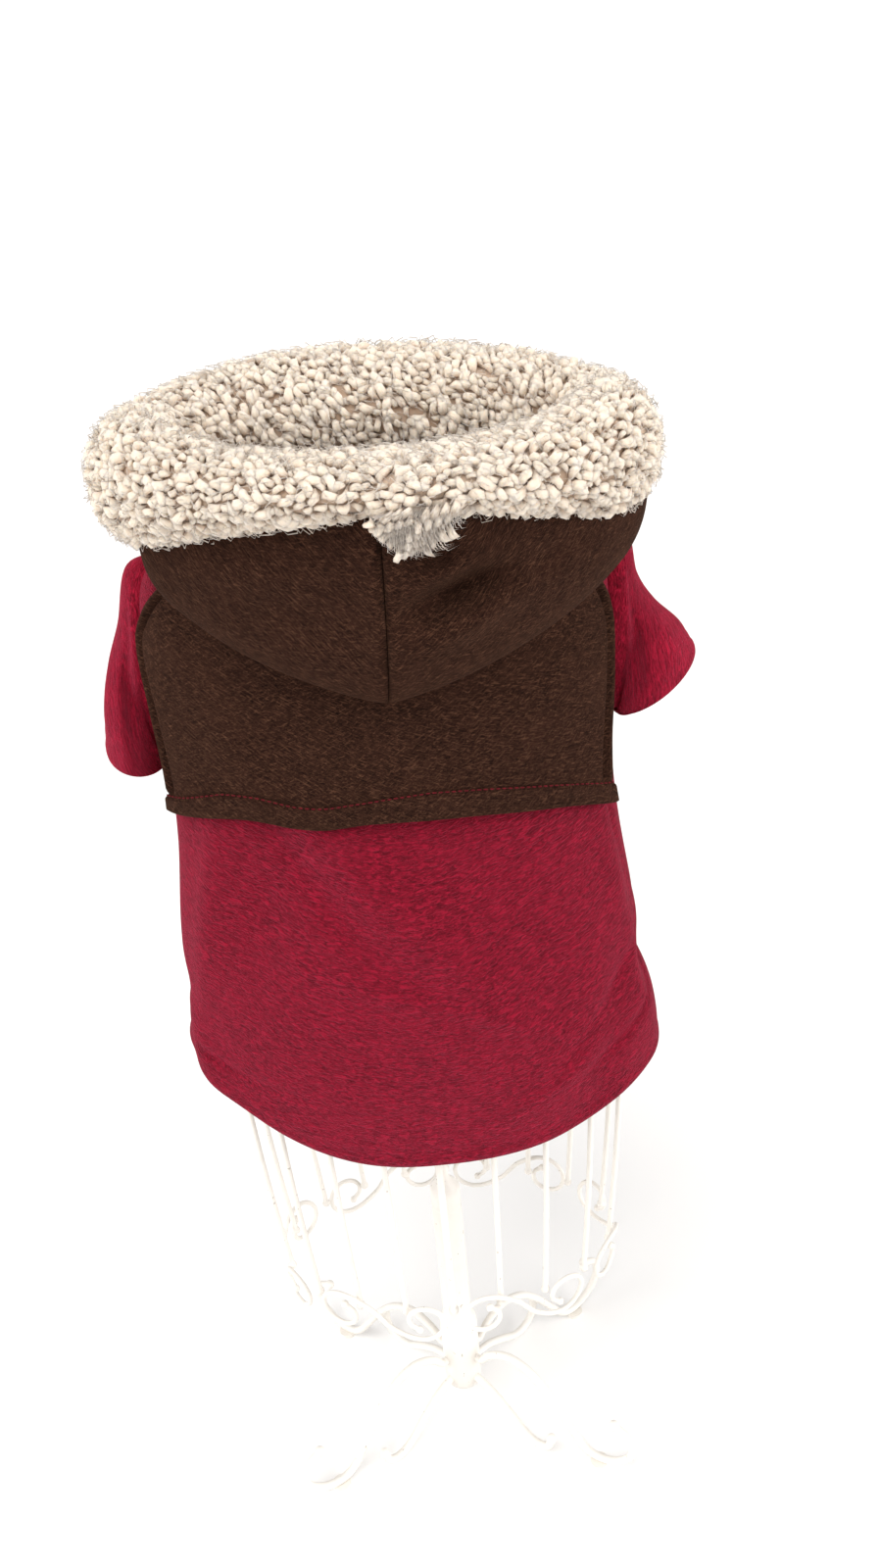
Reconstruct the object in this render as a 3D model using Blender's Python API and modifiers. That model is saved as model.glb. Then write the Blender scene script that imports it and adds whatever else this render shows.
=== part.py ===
"""Hooded fleece top for a small dog, worn by a small white wire form.

Metres, +Z up. The garment's back faces -Y. Shapes are worked out round the form's pole, and one
empty then moves them all, so that the origin is on the floor under the middle of the whole part.
A turn is an angle round the body, in radians, from the middle of the back (0) past +X (pi / 2)
to the middle of the front (pi). Each table's first line names its columns.
"""

import math

import bmesh
import bpy
from mathutils import Vector

# Where the pole stands, from the middle of the whole part
POLE_PLACE = (-0.002, 0.019, 0.0)

# Cloth
WALL = 0.0022
FELT_WALL = 0.0020
SEAM_GAP = 0.0003
SEAM_OPENING = 0.0009
ROUNDNESS = 2.3

# Body, from the neck seam down
# z, middle, half_width, back, front
BODY = (
    (0.6280, -0.002, 0.054, 0.046, 0.024),
    (0.6230, -0.003, 0.072, 0.050, 0.031),
    (0.6150, -0.004, 0.0935, 0.054, 0.040),
    (0.6030, -0.005, 0.1095, 0.057, 0.048),
    (0.5800, -0.005, 0.1155, 0.059, 0.055),
    (0.5400, -0.005, 0.1160, 0.058, 0.060),
    (0.5000, -0.005, 0.1155, 0.057, 0.064),
    (0.4600, -0.005, 0.1180, 0.059, 0.068),
    (0.4100, -0.005, 0.1250, 0.065, 0.072),
    (0.3600, -0.003, 0.1310, 0.072, 0.074),
    (0.3200, -0.001, 0.1350, 0.077, 0.075),
    (0.2760, 0.000, 0.1320, 0.078, 0.074),
)
SIDE_TURN = math.radians(99)
HEM_MIDDLE = 0.282
HEM_RISE_LEFT = 0.053
HEM_RISE_RIGHT = 0.027
HEM_RISE_REACH = 0.80
FRONT_HEM = 0.345
NECK_ROWS = (0.6278, 0.6245, 0.6190, 0.6140)
LOWEST_STRAIGHT_ROW = 0.486
BACK_COLUMNS = 30
BACK_LOWER_ROWS = 11
FRONT_COLUMNS = 22
FRONT_LOWER_ROWS = 8

# Folds in the body's fleece: where they are, how they lean, and how far they stand out
# turn_deg, z, width_deg, length, lean_deg, depth
FOLDS = (
    (-10, 0.430, 9, 0.085, 22, 0.0042),
    (-33, 0.430, 10, 0.060, -6, -0.0038),
    (-60, 0.335, 7, 0.040, 10, 0.0036),
    (26, 0.420, 11, 0.070, 12, -0.0030),
    (52, 0.350, 8, 0.055, -16, -0.0034),
    (66, 0.400, 7, 0.070, 4, 0.0030),
    (2, 0.310, 14, 0.040, 0, -0.0022),
    (150, 0.430, 12, 0.080, -10, 0.0036),
    (196, 0.400, 12, 0.080, 14, -0.0032),
    (222, 0.450, 9, 0.060, 0, 0.0030),
    (-88, 0.376, 15, 0.011, 0, -0.0042),
    (86, 0.367, 16, 0.014, 0, -0.0066),
)

# Armholes: an oval in turn and height
ARMHOLE_Z = 0.5555
ARMHOLE_HALF_HEIGHT = 0.0545
ARMHOLE_HALF_TURN = math.radians(20)
ARMHOLE_ROWS = 8

# Yoke
YOKE_TOP = 0.619
YOKE_HEM = 0.4830
YOKE_LIFT_TOP = 0.0008
YOKE_LIFT_HEM = 0.0022
YOKE_BAND = 0.0100
YOKE_BAND_STEP = 0.0012
YOKE_BAND_RAISE = 0.0008
YOKE_WAVE = 0.0012
YOKE_WAVES_PER_TURN = 5.0
YOKE_WAVE_START = 0.6
# Height of the yoke's free hem, from its right edge (1) to its left edge (-1)
# across, z
YOKE_HEM_LINE = (
    (1.00, 0.4705),
    (0.65, 0.4790),
    (0.33, 0.4838),
    (0.09, 0.4855),
    (-0.06, 0.4860),
    (-0.19, 0.4843),
    (-0.29, 0.4857),
    (-0.43, 0.4888),
    (-0.58, 0.4895),
    (-1.00, 0.4861),
)
# How far round the yoke reaches on each side: cut in over the shoulders and capped over the armholes
# z, left_deg, right_deg
YOKE_EDGE = (
    (0.619, 47.0, 47.0),
    (0.604, 56.0, 57.0),
    (0.591, 66.0, 63.5),
    (0.576, 75.5, 71.0),
    (0.560, 77.0, 74.0),
    (0.535, 74.0, 73.0),
    (0.505, 70.5, 69.0),
    (0.483, 68.5, 66.0),
)

# Sleeves: each row swings out from the underarm, reaches from there to the outer edge, and hangs down a little
# swing_deg, reach, half_depth, drop
SLEEVE_RIGHT = (
    (4, 0.0985, 0.0208, 0.000),
    (10, 0.0745, 0.0245, 0.000),
    (21, 0.0620, 0.0305, 0.000),
    (38, 0.0570, 0.0320, 0.000),
    (53, 0.0530, 0.0310, 0.000),
)
SLEEVE_LEFT = (
    (1, 0.0985, 0.0205, 0.000),
    (8, 0.0735, 0.0245, 0.000),
    (18, 0.0580, 0.0305, 0.001),
    (34, 0.0440, 0.0325, 0.004),
    (62, 0.0320, 0.0320, 0.008),
)
SLEEVE_AROUND = 20
UNDERARM_LIFT = 0.0050
ROOT_SHARE = 0.91
ROOT_LIFT = -0.0004

# Hood, folded down the back
HOOD_TIP = 0.5490
HOOD_POINTEDNESS = 1.15
HOOD_DEPTH_MIDDLE = 0.0400
HOOD_EDGE = 0.0045
HOOD_EDGE_INNER = 0.0030
HOOD_EDGE_OUTER = 0.0018
HOOD_FACING_Z = 0.560
HOOD_FULLNESS = 2.3
HOOD_EASE_FROM = 0.590
HOOD_EASE = 0.22
HOOD_COLUMNS = 9
HOOD_ROWS = 8
HOOD_UNDER_FUR = 0.0006
HOOD_TOP_STEPS = 12
# side, corner_deg, corner_depth, corner_rise, inner_top
HOOD_HALVES = (
    (-1, 57, 0.0150, 0.0670, 0.6150),
    (1, 72, 0.0240, 0.0560, 0.6100),
)

# Fur roll round the hood's mouth: a row each for the near side, both ends and the far side
# z, half_across, half_height
FUR = (
    (0.6500, 0.0280, 0.0150),
    (0.6525, 0.0240, 0.0300),
    (0.6640, 0.0320, 0.0340),
)
FUR_HALF_LENGTH = 0.1020
FUR_MIDDLE_X = 0.0035
FUR_NEAR_Y = -0.0850
FUR_FAR_Y = 0.0060
FUR_TILT = 0.020
FUR_SQUARENESS = 0.80
FUR_STEPS = 13
FUR_SIDES = 14
FUR_SEARCH_STEPS = 90

# Wire form
RIB_RADIUS = 0.0017
CENTRE_RIB_RADIUS = 0.0020
SCROLL_RADIUS = 0.0015
LEG_RADIUS = 0.0026
WIRE_GAP = 0.0004
BODICE_RIB_TURNS = (-160, -130, -50, -20, 20, 50, 130, 160)
SKIRT_RIB_COUNT = 18
SCROLL_COUNT = 6
HIP_HOOP_Z = 0.335
HIP_HOOP_STEPS = 28
SHOULDER_Z = 0.6160
SHOULDER_STEP = 0.020
BODICE_SHOULDER_ROWS = (0.6110, 0.6040, 0.5940, 0.5750)
BODICE_CHEST_ROWS = (0.520, 0.450)
BODICE_CHEST_INSET = 0.012
SKIRT_ROWS = (0.342, 0.290, 0.230, 0.185, 0.152)
# z, half_width, depth
CAGE = (
    (0.345, 0.1160, 0.0640),
    (0.290, 0.1140, 0.0625),
    (0.230, 0.1110, 0.0610),
    (0.180, 0.1070, 0.0600),
    (0.120, 0.1010, 0.0590),
)
SCROLL_MIDDLE_Z = 0.1470
SCROLL_CURL = 0.0160
SCROLL_CURL_END = 0.0070
SCROLL_CURL_OFFSET = 0.0255
SCROLL_CURL_START_DEG = -118
SCROLL_CURL_STOP_DEG = 235
SCROLL_CURL_STEPS = 9
SCROLL_WAIST = ((0.0, 0.0), (0.006, -0.0070))
FOOT_TURNS = (-125, -55, 55, 125)
BRACE_TURNS = (-135, -45, 45, 135)
# out, up
LEG_ARCH = (
    (0.0127, 0.0442),
    (0.0165, 0.0443),
    (0.0240, 0.0530),
    (0.0380, 0.0600),
    (0.0540, 0.0560),
    (0.0680, 0.0430),
    (0.0800, 0.0260),
    (0.0920, 0.0100),
    (0.1040, 0.0062),
    (0.1180, 0.0120),
    (0.1270, 0.0240),
    (0.1260, 0.0370),
    (0.1170, 0.0430),
)
# out, up
LEG_BRACE = (
    (0.0127, 0.0275),
    (0.0180, 0.0268),
    (0.0280, 0.0240),
    (0.0420, 0.0160),
    (0.0540, 0.0080),
    (0.0650, 0.0062),
    (0.0740, 0.0110),
    (0.0770, 0.0190),
)
LEG_ARCH_FOOT_ROW = 8
PAD_RADIUS = 0.0060
PAD_HEIGHT = 0.0032
NECK_PLATE_RADIUS = 0.0285
NECK_PLATE_Z = 0.6110
# radius, z
POLE = (
    (0.0000, 0.6140),
    (0.0270, 0.6130),
    (NECK_PLATE_RADIUS, NECK_PLATE_Z),
    (0.0270, 0.6090),
    (0.0030, 0.6060),
    (0.0030, 0.2000),
    (0.0095, 0.1920),
    (0.0095, 0.0820),
    (0.0125, 0.0760),
    (0.0125, 0.0220),
    (0.0100, 0.0180),
    (0.0000, 0.0180),
)
POLE_STEPS = 20

CRIMSON = (0.32, 0.014, 0.042, 1.0)
BROWN = (0.048, 0.027, 0.018, 1.0)
CREAM = (0.78, 0.70, 0.60, 1.0)
WHITE = (0.86, 0.85, 0.82, 1.0)


def clear_scene():
    for thing in list(bpy.data.objects):
        bpy.data.objects.remove(thing, do_unlink=True)


def make_material(name, colour, roughness, metallic=0.0):
    material = bpy.data.materials.new(name)
    material.use_nodes = True
    shader = material.node_tree.nodes["Principled BSDF"]
    shader.inputs["Base Color"].default_value = colour
    shader.inputs["Roughness"].default_value = roughness
    shader.inputs["Metallic"].default_value = metallic
    material.diffuse_color = colour
    return material


def mix(low, high, share):
    return low + (high - low) * share


def smooth_row(table, place):
    """One row of a table that falls in height, read at a height by a smooth curve through its rows."""
    place = min(max(place, table[-1][0]), table[0][0])
    index = 0
    while index < len(table) - 2 and place < table[index + 1][0]:
        index += 1
    above = table[max(index - 1, 0)]
    first = table[index]
    second = table[index + 1]
    below = table[min(index + 2, len(table) - 1)]
    span = second[0] - first[0]
    share = (place - first[0]) / span
    row = []
    for column in range(1, len(first)):
        slope_first = (second[column] - above[column]) / (second[0] - above[0]) * span
        slope_second = (below[column] - first[column]) / (below[0] - first[0]) * span
        square = share * share
        cube = square * share
        row.append(
            (2 * cube - 3 * square + 1) * first[column]
            + (cube - 2 * square + share) * slope_first
            + (3 * square - 2 * cube) * second[column]
            + (cube - square) * slope_second
        )
    return row


def signed_power(value, power):
    return math.copysign(abs(value) ** power, value)


def plain_body_point(turn, z):
    middle, half_width, back, front = smooth_row(BODY, z)
    power = 2 / ROUNDNESS
    across = signed_power(math.sin(turn), power)
    along = signed_power(math.cos(turn), power)
    depth = back if along > 0 else front
    return Vector((middle + half_width * across, -depth * along, z))


def plain_body_normal(turn, z):
    """The way out of the body, from two short steps along it."""
    step_turn = 0.02
    step_z = 0.0015
    high = min(z + step_z, BODY[0][0])
    low = max(z - step_z, BODY[-1][0])
    round_body = plain_body_point(turn + step_turn, z) - plain_body_point(turn - step_turn, z)
    up_body = plain_body_point(turn, high) - plain_body_point(turn, low)
    return round_body.cross(up_body).normalized()


def fold_height(turn, z):
    total = 0.0
    degrees = math.degrees(turn)
    for fold_turn, fold_z, width, length, lean, depth in FOLDS:
        rise = (z - fold_z) / length
        away = (degrees - fold_turn + 180) % 360 - 180
        side = (away + lean * rise) / width
        total += depth * math.exp(-side * side - rise * rise)
    return total


def body_point(turn, z, lift=0.0):
    """A point on the body's outer side, moved out by a lift."""
    return plain_body_point(turn, z) + plain_body_normal(turn, z) * (lift + fold_height(turn, z))


def make_collection(name):
    collection = bpy.data.collections.new(name)
    bpy.context.scene.collection.children.link(collection)
    return collection


def add_object(name, mesh, material, collection):
    item = bpy.data.objects.new(name, mesh)
    item.data.materials.append(material)
    collection.objects.link(item)
    return item


def grid_mesh(name, rows, closed=False):
    """A mesh through rows of points. Faces look out where rows run down and columns run with the turn."""
    shape = bmesh.new()
    verts = [[shape.verts.new(point) for point in row] for row in rows]
    columns = len(rows[0])
    for upper, lower in zip(verts, verts[1:]):
        for column in range(columns if closed else columns - 1):
            after = (column + 1) % columns
            shape.faces.new((upper[column], lower[column], lower[after], upper[after]))
    mesh = bpy.data.meshes.new(name)
    shape.to_mesh(mesh)
    shape.free()
    mesh.shade_smooth()
    return mesh


def loft_mesh(name, rings):
    """A closed solid through closed rings of points, with both ends capped and its faces looking out."""
    shape = bmesh.new()
    verts = [[shape.verts.new(point) for point in ring] for ring in rings]
    count = len(rings[0])
    for first, second in zip(verts, verts[1:]):
        for index in range(count):
            after = (index + 1) % count
            shape.faces.new((first[index], first[after], second[after], second[index]))
    shape.faces.new(list(reversed(verts[0])))
    shape.faces.new(verts[-1])
    bmesh.ops.recalc_face_normals(shape, faces=shape.faces)
    mesh = bpy.data.meshes.new(name)
    shape.to_mesh(mesh)
    shape.free()
    mesh.shade_smooth()
    mesh.set_sharp_from_angle(angle=math.radians(50))
    return mesh


def thicken(item, thickness):
    shell = item.modifiers.new("wall", "SOLIDIFY")
    shell.thickness = thickness
    shell.offset = -1
    shell.use_even_offset = True


def armhole_rows():
    """Heights of the panels' rows past the armhole, so that both panels and the sleeve share its points."""
    rows = []
    for step in range(ARMHOLE_ROWS + 1):
        rows.append(ARMHOLE_Z + ARMHOLE_HALF_HEIGHT * math.cos(math.pi * step / ARMHOLE_ROWS))
    return rows


def armhole_half_turn(z):
    share = (z - ARMHOLE_Z) / ARMHOLE_HALF_HEIGHT
    return ARMHOLE_HALF_TURN * math.sqrt(max(0.0, 1 - share * share))


def back_hem(across):
    """Height of the back's shirt-tail hem, from side seam (-1) to side seam (1)."""
    rise = HEM_RISE_LEFT if across < 0 else HEM_RISE_RIGHT
    share = min(1.0, abs(across) / HEM_RISE_REACH)
    return HEM_MIDDLE + rise * math.sin(0.5 * math.pi * share) ** 2


def front_hem(across):
    """Height of the front's hem, which meets the back's at the side seams."""
    side = HEM_MIDDLE + (HEM_RISE_LEFT if across > 0 else HEM_RISE_RIGHT)
    return mix(FRONT_HEM, side, abs(across) ** 4)


def panel_rows(middle_turn, half_turn, hem, columns, lower_rows):
    """Rows of points for a panel, from the neck seam down, cut away round the armholes."""
    heights = list(NECK_ROWS) + armhole_rows() + [LOWEST_STRAIGHT_ROW]
    rows = []
    for step in range(len(heights) + lower_rows):
        row = []
        for column in range(columns + 1):
            across = 2 * column / columns - 1
            if step < len(heights):
                z = heights[step]
            else:
                down = (step - len(heights) + 1) / lower_rows
                z = mix(LOWEST_STRAIGHT_ROW, hem(across), down)
            reach = half_turn - armhole_half_turn(z)
            row.append(body_point(middle_turn + across * reach, z))
        rows.append(row)
    return rows


def make_panels(material, collection):
    seam_turn = SEAM_OPENING / 2 / BODY[-1][4]
    back_half = SIDE_TURN - seam_turn
    rows = panel_rows(0.0, back_half, back_hem, BACK_COLUMNS, BACK_LOWER_ROWS)
    thicken(add_object("back_panel", grid_mesh("back_panel", rows), material, collection), WALL)
    front_half = math.pi - SIDE_TURN - seam_turn
    rows = panel_rows(math.pi, front_half, front_hem, FRONT_COLUMNS, FRONT_LOWER_ROWS)
    thicken(add_object("front_panel", grid_mesh("front_panel", rows), material, collection), WALL)


def yoke_turn(across, z):
    """The turn at a place across the yoke, from its left edge (-1) to its right edge (1)."""
    left, right = smooth_row(YOKE_EDGE, z)
    return math.radians(across * (left if across < 0 else right))


def yoke_lift(turn, z):
    """The gap under the yoke: closed at the neck and wavy along its free hem."""
    down = (YOKE_TOP - z) / (YOKE_TOP - YOKE_HEM)
    wave = YOKE_WAVE * (1 + math.sin(YOKE_WAVES_PER_TURN * turn + YOKE_WAVE_START)) * down ** 3
    return mix(YOKE_LIFT_TOP, YOKE_LIFT_HEM, down * down) + wave


def yoke_outside(across, z, raised=0.0):
    turn = yoke_turn(across, z)
    return body_point(turn, z, yoke_lift(turn, z) + FELT_WALL + raised)


def make_yoke(material, collection):
    places = [2 * column / BACK_COLUMNS - 1 for column in range(BACK_COLUMNS + 1)]
    rows = []
    for z in [YOKE_TOP, NECK_ROWS[-1]] + armhole_rows():
        rows.append([yoke_outside(across, z) for across in places])
    band_rows = (
        (YOKE_BAND + YOKE_BAND_STEP / 2, 0.0),
        (YOKE_BAND - YOKE_BAND_STEP / 2, YOKE_BAND_RAISE),
        (0.0, YOKE_BAND_RAISE),
    )
    for over_hem, raised in band_rows:
        row = []
        for across in places:
            z = smooth_row(YOKE_HEM_LINE, across)[0] + over_hem
            row.append(yoke_outside(across, z, raised))
        rows.append(row)
    thicken(add_object("yoke", grid_mesh("yoke", rows), material, collection), FELT_WALL)


def sleeve_rows(side, table):
    """Rings of the sleeve, from the armhole out to the cuff. side is 1 at +X and -1 at -X."""
    root = []
    for step in range(SLEEVE_AROUND):
        angle = 2 * math.pi * step / SLEEVE_AROUND
        turn = SIDE_TURN + ROOT_SHARE * ARMHOLE_HALF_TURN * math.sin(angle)
        z = ARMHOLE_Z + ROOT_SHARE * ARMHOLE_HALF_HEIGHT * math.cos(angle)
        point = body_point(side * turn, z, ROOT_LIFT)
        root.append(point)
    rings = [root]
    underarm = body_point(side * SIDE_TURN, ARMHOLE_Z - ROOT_SHARE * ARMHOLE_HALF_HEIGHT, UNDERARM_LIFT)
    middle_y = 0.5 * (root[SLEEVE_AROUND // 4].y + root[3 * SLEEVE_AROUND // 4].y)
    for swing_deg, reach, half_depth, drop in table:
        swing = math.radians(swing_deg)
        up = Vector((side * math.sin(swing), 0.0, math.cos(swing)))
        centre = Vector((underarm.x, middle_y, underarm.z - drop)) + up * (reach / 2)
        ring = []
        for step in range(SLEEVE_AROUND):
            angle = 2 * math.pi * step / SLEEVE_AROUND
            ring.append(centre + up * (reach / 2 * math.cos(angle)) + Vector((0, half_depth * math.sin(angle), 0)))
        rings.append(ring)
    if side < 0:
        rings = [list(reversed(ring)) for ring in rings]
    return rings


def make_sleeves(material, collection):
    for name, side, table in (("sleeve_left", -1, SLEEVE_LEFT), ("sleeve_right", 1, SLEEVE_RIGHT)):
        rings = [list(reversed(ring)) for ring in sleeve_rows(side, table)]
        mesh = grid_mesh(name, rings, closed=True)
        thicken(add_object(name, mesh, material, collection), WALL)


def hood_lift(turn, z):
    """How far the hood's inner side lies off the body: on the yoke, and easier over the shoulder."""
    over_shoulder = max(0.0, z - HOOD_EASE_FROM) * HOOD_EASE
    return yoke_lift(turn, z) + FELT_WALL + 2 * SEAM_GAP + over_shoulder


def height_under_fur(inner, rim):
    """Height of the hood's rim, so that the top between its inner edge and its rim lies just under the roll."""
    rises = []
    for step in range(HOOD_TOP_STEPS):
        share = (step + 1) / HOOD_TOP_STEPS
        room = fur_underside(inner.lerp(rim, share)) - HOOD_UNDER_FUR - inner.z
        rises.append(room / share)
    return inner.z + min(rises)


def hood_ring(half, share):
    """A closed section of the hood, from its tip (0) to a corner (1): up along the yoke, then down its outer side."""
    side, corner_deg, corner_depth, corner_rise, inner_top = half
    turn = side * math.radians(corner_deg) * share
    low = HOOD_TIP + corner_rise * share ** HOOD_POINTEDNESS
    depth = mix(HOOD_DEPTH_MIDDLE, corner_depth, share)
    inner_top = max(inner_top, low + HOOD_EDGE)
    inner = []
    for row in range(HOOD_ROWS):
        z = mix(low + HOOD_EDGE_INNER, inner_top, row / (HOOD_ROWS - 1))
        inner.append(body_point(turn, z, hood_lift(turn, z)))
    base = body_point(turn, low, hood_lift(turn, low))
    out = plain_body_normal(turn, HOOD_FACING_Z)
    out.z = 0
    out.normalize()
    top = height_under_fur(inner[-1], base + out * depth)
    outer = []
    for row in range(HOOD_ROWS + 2):
        rise = 1 - row / (HOOD_ROWS + 1)
        full = (1 - (1 - rise) ** HOOD_FULLNESS) ** (1 / HOOD_FULLNESS)
        point = base + out * mix(HOOD_EDGE_OUTER, depth, full)
        point.z = mix(low, top, rise)
        outer.append(point)
    ring = inner + outer
    if share == 0:
        seam = body_point(0.0, HOOD_FACING_Z).x + side * SEAM_GAP / 2
        ring = [Vector((seam, point.y, point.z)) for point in ring]
    return ring


def make_hood(material, collection):
    for name, half in zip(("hood_left", "hood_right"), HOOD_HALVES):
        rings = []
        for column in range(HOOD_COLUMNS + 1):
            rings.append(hood_ring(half, column / HOOD_COLUMNS))
        add_object(name, loft_mesh(name, rings), material, collection)


def fur_size(angle):
    """Height, half thickness across and half height of the roll, from near (0) round to far (pi)."""
    near, end, far = FUR
    toward = near if math.cos(angle) > 0 else far
    return [mix(at_end, at_side, math.cos(angle) ** 2) for at_end, at_side in zip(end, toward)]


def fur_centre(side, angle):
    """The middle of the roll's section at an angle, and the way out of it."""
    z = fur_size(angle)[0]
    middle_y = 0.5 * (FUR_NEAR_Y + FUR_FAR_Y)
    half_depth = 0.5 * (FUR_FAR_Y - FUR_NEAR_Y)
    across = side * FUR_HALF_LENGTH * signed_power(math.sin(angle), FUR_SQUARENESS)
    along = -half_depth * signed_power(math.cos(angle), FUR_SQUARENESS)
    centre = Vector((across, middle_y + along, z - FUR_TILT * across))
    centre.x += FUR_MIDDLE_X * math.sin(angle) ** 2
    out = Vector((side * math.sin(angle) * half_depth, -math.cos(angle) * FUR_HALF_LENGTH, 0)).normalized()
    return centre, out


def fur_underside(point):
    """Height of the roll's underside over a point of the hood."""
    side = math.copysign(1.0, point.x)
    nearest = None
    for step in range(FUR_SEARCH_STEPS + 1):
        angle = math.pi * step / FUR_SEARCH_STEPS
        centre, out = fur_centre(side, angle)
        away = math.hypot(point.x - centre.x, point.y - centre.y)
        if nearest is None or away < nearest[0]:
            nearest = (away, angle, centre.z)
    away, angle, middle_z = nearest
    half_across, half_height = fur_size(angle)[1:]
    return middle_z - half_height * math.sqrt(max(0.0, 1 - (away / half_across) ** 2))


def fur_ring(side, angle):
    half_across, half_height = fur_size(angle)[1:]
    centre, out = fur_centre(side, angle)
    ring = []
    for step in range(FUR_SIDES):
        around = 2 * math.pi * step / FUR_SIDES
        point = centre + out * (half_across * math.cos(around))
        point.z += half_height * math.sin(around)
        ring.append(point)
    return ring


def make_fur(material, collection):
    for name, side in (("fur_left", -1), ("fur_right", 1)):
        rings = []
        for step in range(FUR_STEPS + 1):
            ring = fur_ring(side, math.pi * step / FUR_STEPS)
            if step in (0, FUR_STEPS):
                ring = [Vector((side * SEAM_GAP / 2, point.y, point.z)) for point in ring]
            rings.append(ring)
        add_object(name, loft_mesh(name, rings), material, collection)


def make_wire(name, points, radius, material, collection, cyclic=False):
    curve = bpy.data.curves.new(name, "CURVE")
    curve.dimensions = "3D"
    curve.bevel_depth = radius
    curve.bevel_resolution = 1
    curve.use_fill_caps = True
    spline = curve.splines.new("POLY")
    spline.points.add(len(points) - 1)
    for slot, point in zip(spline.points, points):
        slot.co = (point[0], point[1], point[2], 1.0)
    spline.use_cyclic_u = cyclic
    item = bpy.data.objects.new(name, curve)
    item.data.materials.append(material)
    collection.objects.link(item)
    return item


def cage_point(turn, z, lift=0.0):
    half_width, depth = smooth_row(CAGE, z)
    return Vector(((half_width + lift) * math.sin(turn), -(depth + lift) * math.cos(turn), z))


def even_turn(share):
    """The turn at a share of the way round the cage's oval, measured along the wire."""
    half_width, depth = smooth_row(CAGE, SKIRT_ROWS[2])
    steps = 720
    lengths = [0.0]
    for step in range(steps):
        middle = 2 * math.pi * (step + 0.5) / steps
        lengths.append(lengths[-1] + math.hypot(half_width * math.cos(middle), depth * math.sin(middle)))
    target = (share % 1.0) * lengths[-1]
    step = 0
    while lengths[step + 1] < target:
        step += 1
    part = (target - lengths[step]) / (lengths[step + 1] - lengths[step])
    return 2 * math.pi * (step + part) / steps


def make_bodice(material, collection):
    """Ribs from the neck plate, over the shoulders under the cloth, and down to the hip hoop."""
    under = WALL + RIB_RADIUS + 2 * WIRE_GAP
    plate_edge = NECK_PLATE_RADIUS + RIB_RADIUS + WIRE_GAP
    inside_hoop = -2 * (2 * RIB_RADIUS + WIRE_GAP)
    for index, degrees in enumerate(BODICE_RIB_TURNS):
        turn = math.radians(degrees)
        shoulder = body_point(turn, BODICE_SHOULDER_ROWS[0], -under)
        start = Vector((plate_edge * math.sin(turn), -plate_edge * math.cos(turn), NECK_PLATE_Z))
        points = [start]
        if (shoulder - start).length > SHOULDER_STEP:
            points.append(body_point(turn, SHOULDER_Z, -under))
        points += [body_point(turn, z, -under) for z in BODICE_SHOULDER_ROWS]
        chest = cage_point(turn, CAGE[0][0], inside_hoop - BODICE_CHEST_INSET)
        for z in BODICE_CHEST_ROWS:
            points.append(Vector((chest.x, chest.y, z)))
        points.append(cage_point(turn, HIP_HOOP_Z, inside_hoop))
        make_wire("bodice_rib_%d" % (index + 1), points, RIB_RADIUS, material, collection)


def make_hoops(material, collection):
    inside = -(2 * RIB_RADIUS + WIRE_GAP)
    points = []
    for step in range(HIP_HOOP_STEPS):
        points.append(cage_point(2 * math.pi * step / HIP_HOOP_STEPS, HIP_HOOP_Z, inside))
    make_wire("hoop_hip", points, RIB_RADIUS, material, collection, cyclic=True)


def make_skirt(material, collection):
    for index in range(SKIRT_RIB_COUNT):
        turn = even_turn(index / SKIRT_RIB_COUNT)
        radius = CENTRE_RIB_RADIUS if index == 0 else RIB_RADIUS
        points = [cage_point(turn, z) for z in SKIRT_ROWS]
        make_wire("skirt_rib_%d" % (index + 1), points, radius, material, collection)


def scroll_half():
    """Half of an S-scroll from its middle, as along and up, ending in a curl."""
    points = list(SCROLL_WAIST)
    for step in range(SCROLL_CURL_STEPS + 1):
        share = step / SCROLL_CURL_STEPS
        angle = math.radians(mix(SCROLL_CURL_START_DEG, SCROLL_CURL_STOP_DEG, share))
        radius = mix(SCROLL_CURL, SCROLL_CURL_END, share)
        points.append((SCROLL_CURL_OFFSET + radius * math.cos(angle), radius * math.sin(angle)))
    return points


def make_scrolls(material, collection):
    half = scroll_half()
    flat = [(-along, -up) for along, up in reversed(half[1:])] + half
    half_width, depth = smooth_row(CAGE, SKIRT_ROWS[3])
    girth = math.pi * (3 * (half_width + depth) - math.sqrt((3 * half_width + depth) * (half_width + 3 * depth)))
    lift = RIB_RADIUS + SCROLL_RADIUS + WIRE_GAP + (CENTRE_RIB_RADIUS - RIB_RADIUS)
    for index in range(SCROLL_COUNT):
        middle_share = (index + 0.5) / SCROLL_COUNT
        points = []
        for along, up in flat:
            turn = even_turn(middle_share + along / girth)
            points.append(cage_point(turn, SCROLL_MIDDLE_Z + up, lift))
        make_wire("scroll_%d" % (index + 1), points, SCROLL_RADIUS, material, collection)


def make_pole(material, collection):
    profile = bpy.data.meshes.new("form_pole")
    points = [(radius, 0.0, z) for radius, z in POLE]
    edges = [(index, index + 1) for index in range(len(points) - 1)]
    profile.from_pydata(points, edges, [])
    item = add_object("form_pole", profile, material, collection)
    turned = item.modifiers.new("turned", "SCREW")
    turned.axis = "Z"
    turned.steps = POLE_STEPS
    turned.render_steps = POLE_STEPS
    turned.use_merge_vertices = True
    turned.merge_threshold = 0.0001
    turned.use_smooth_shade = True


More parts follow.
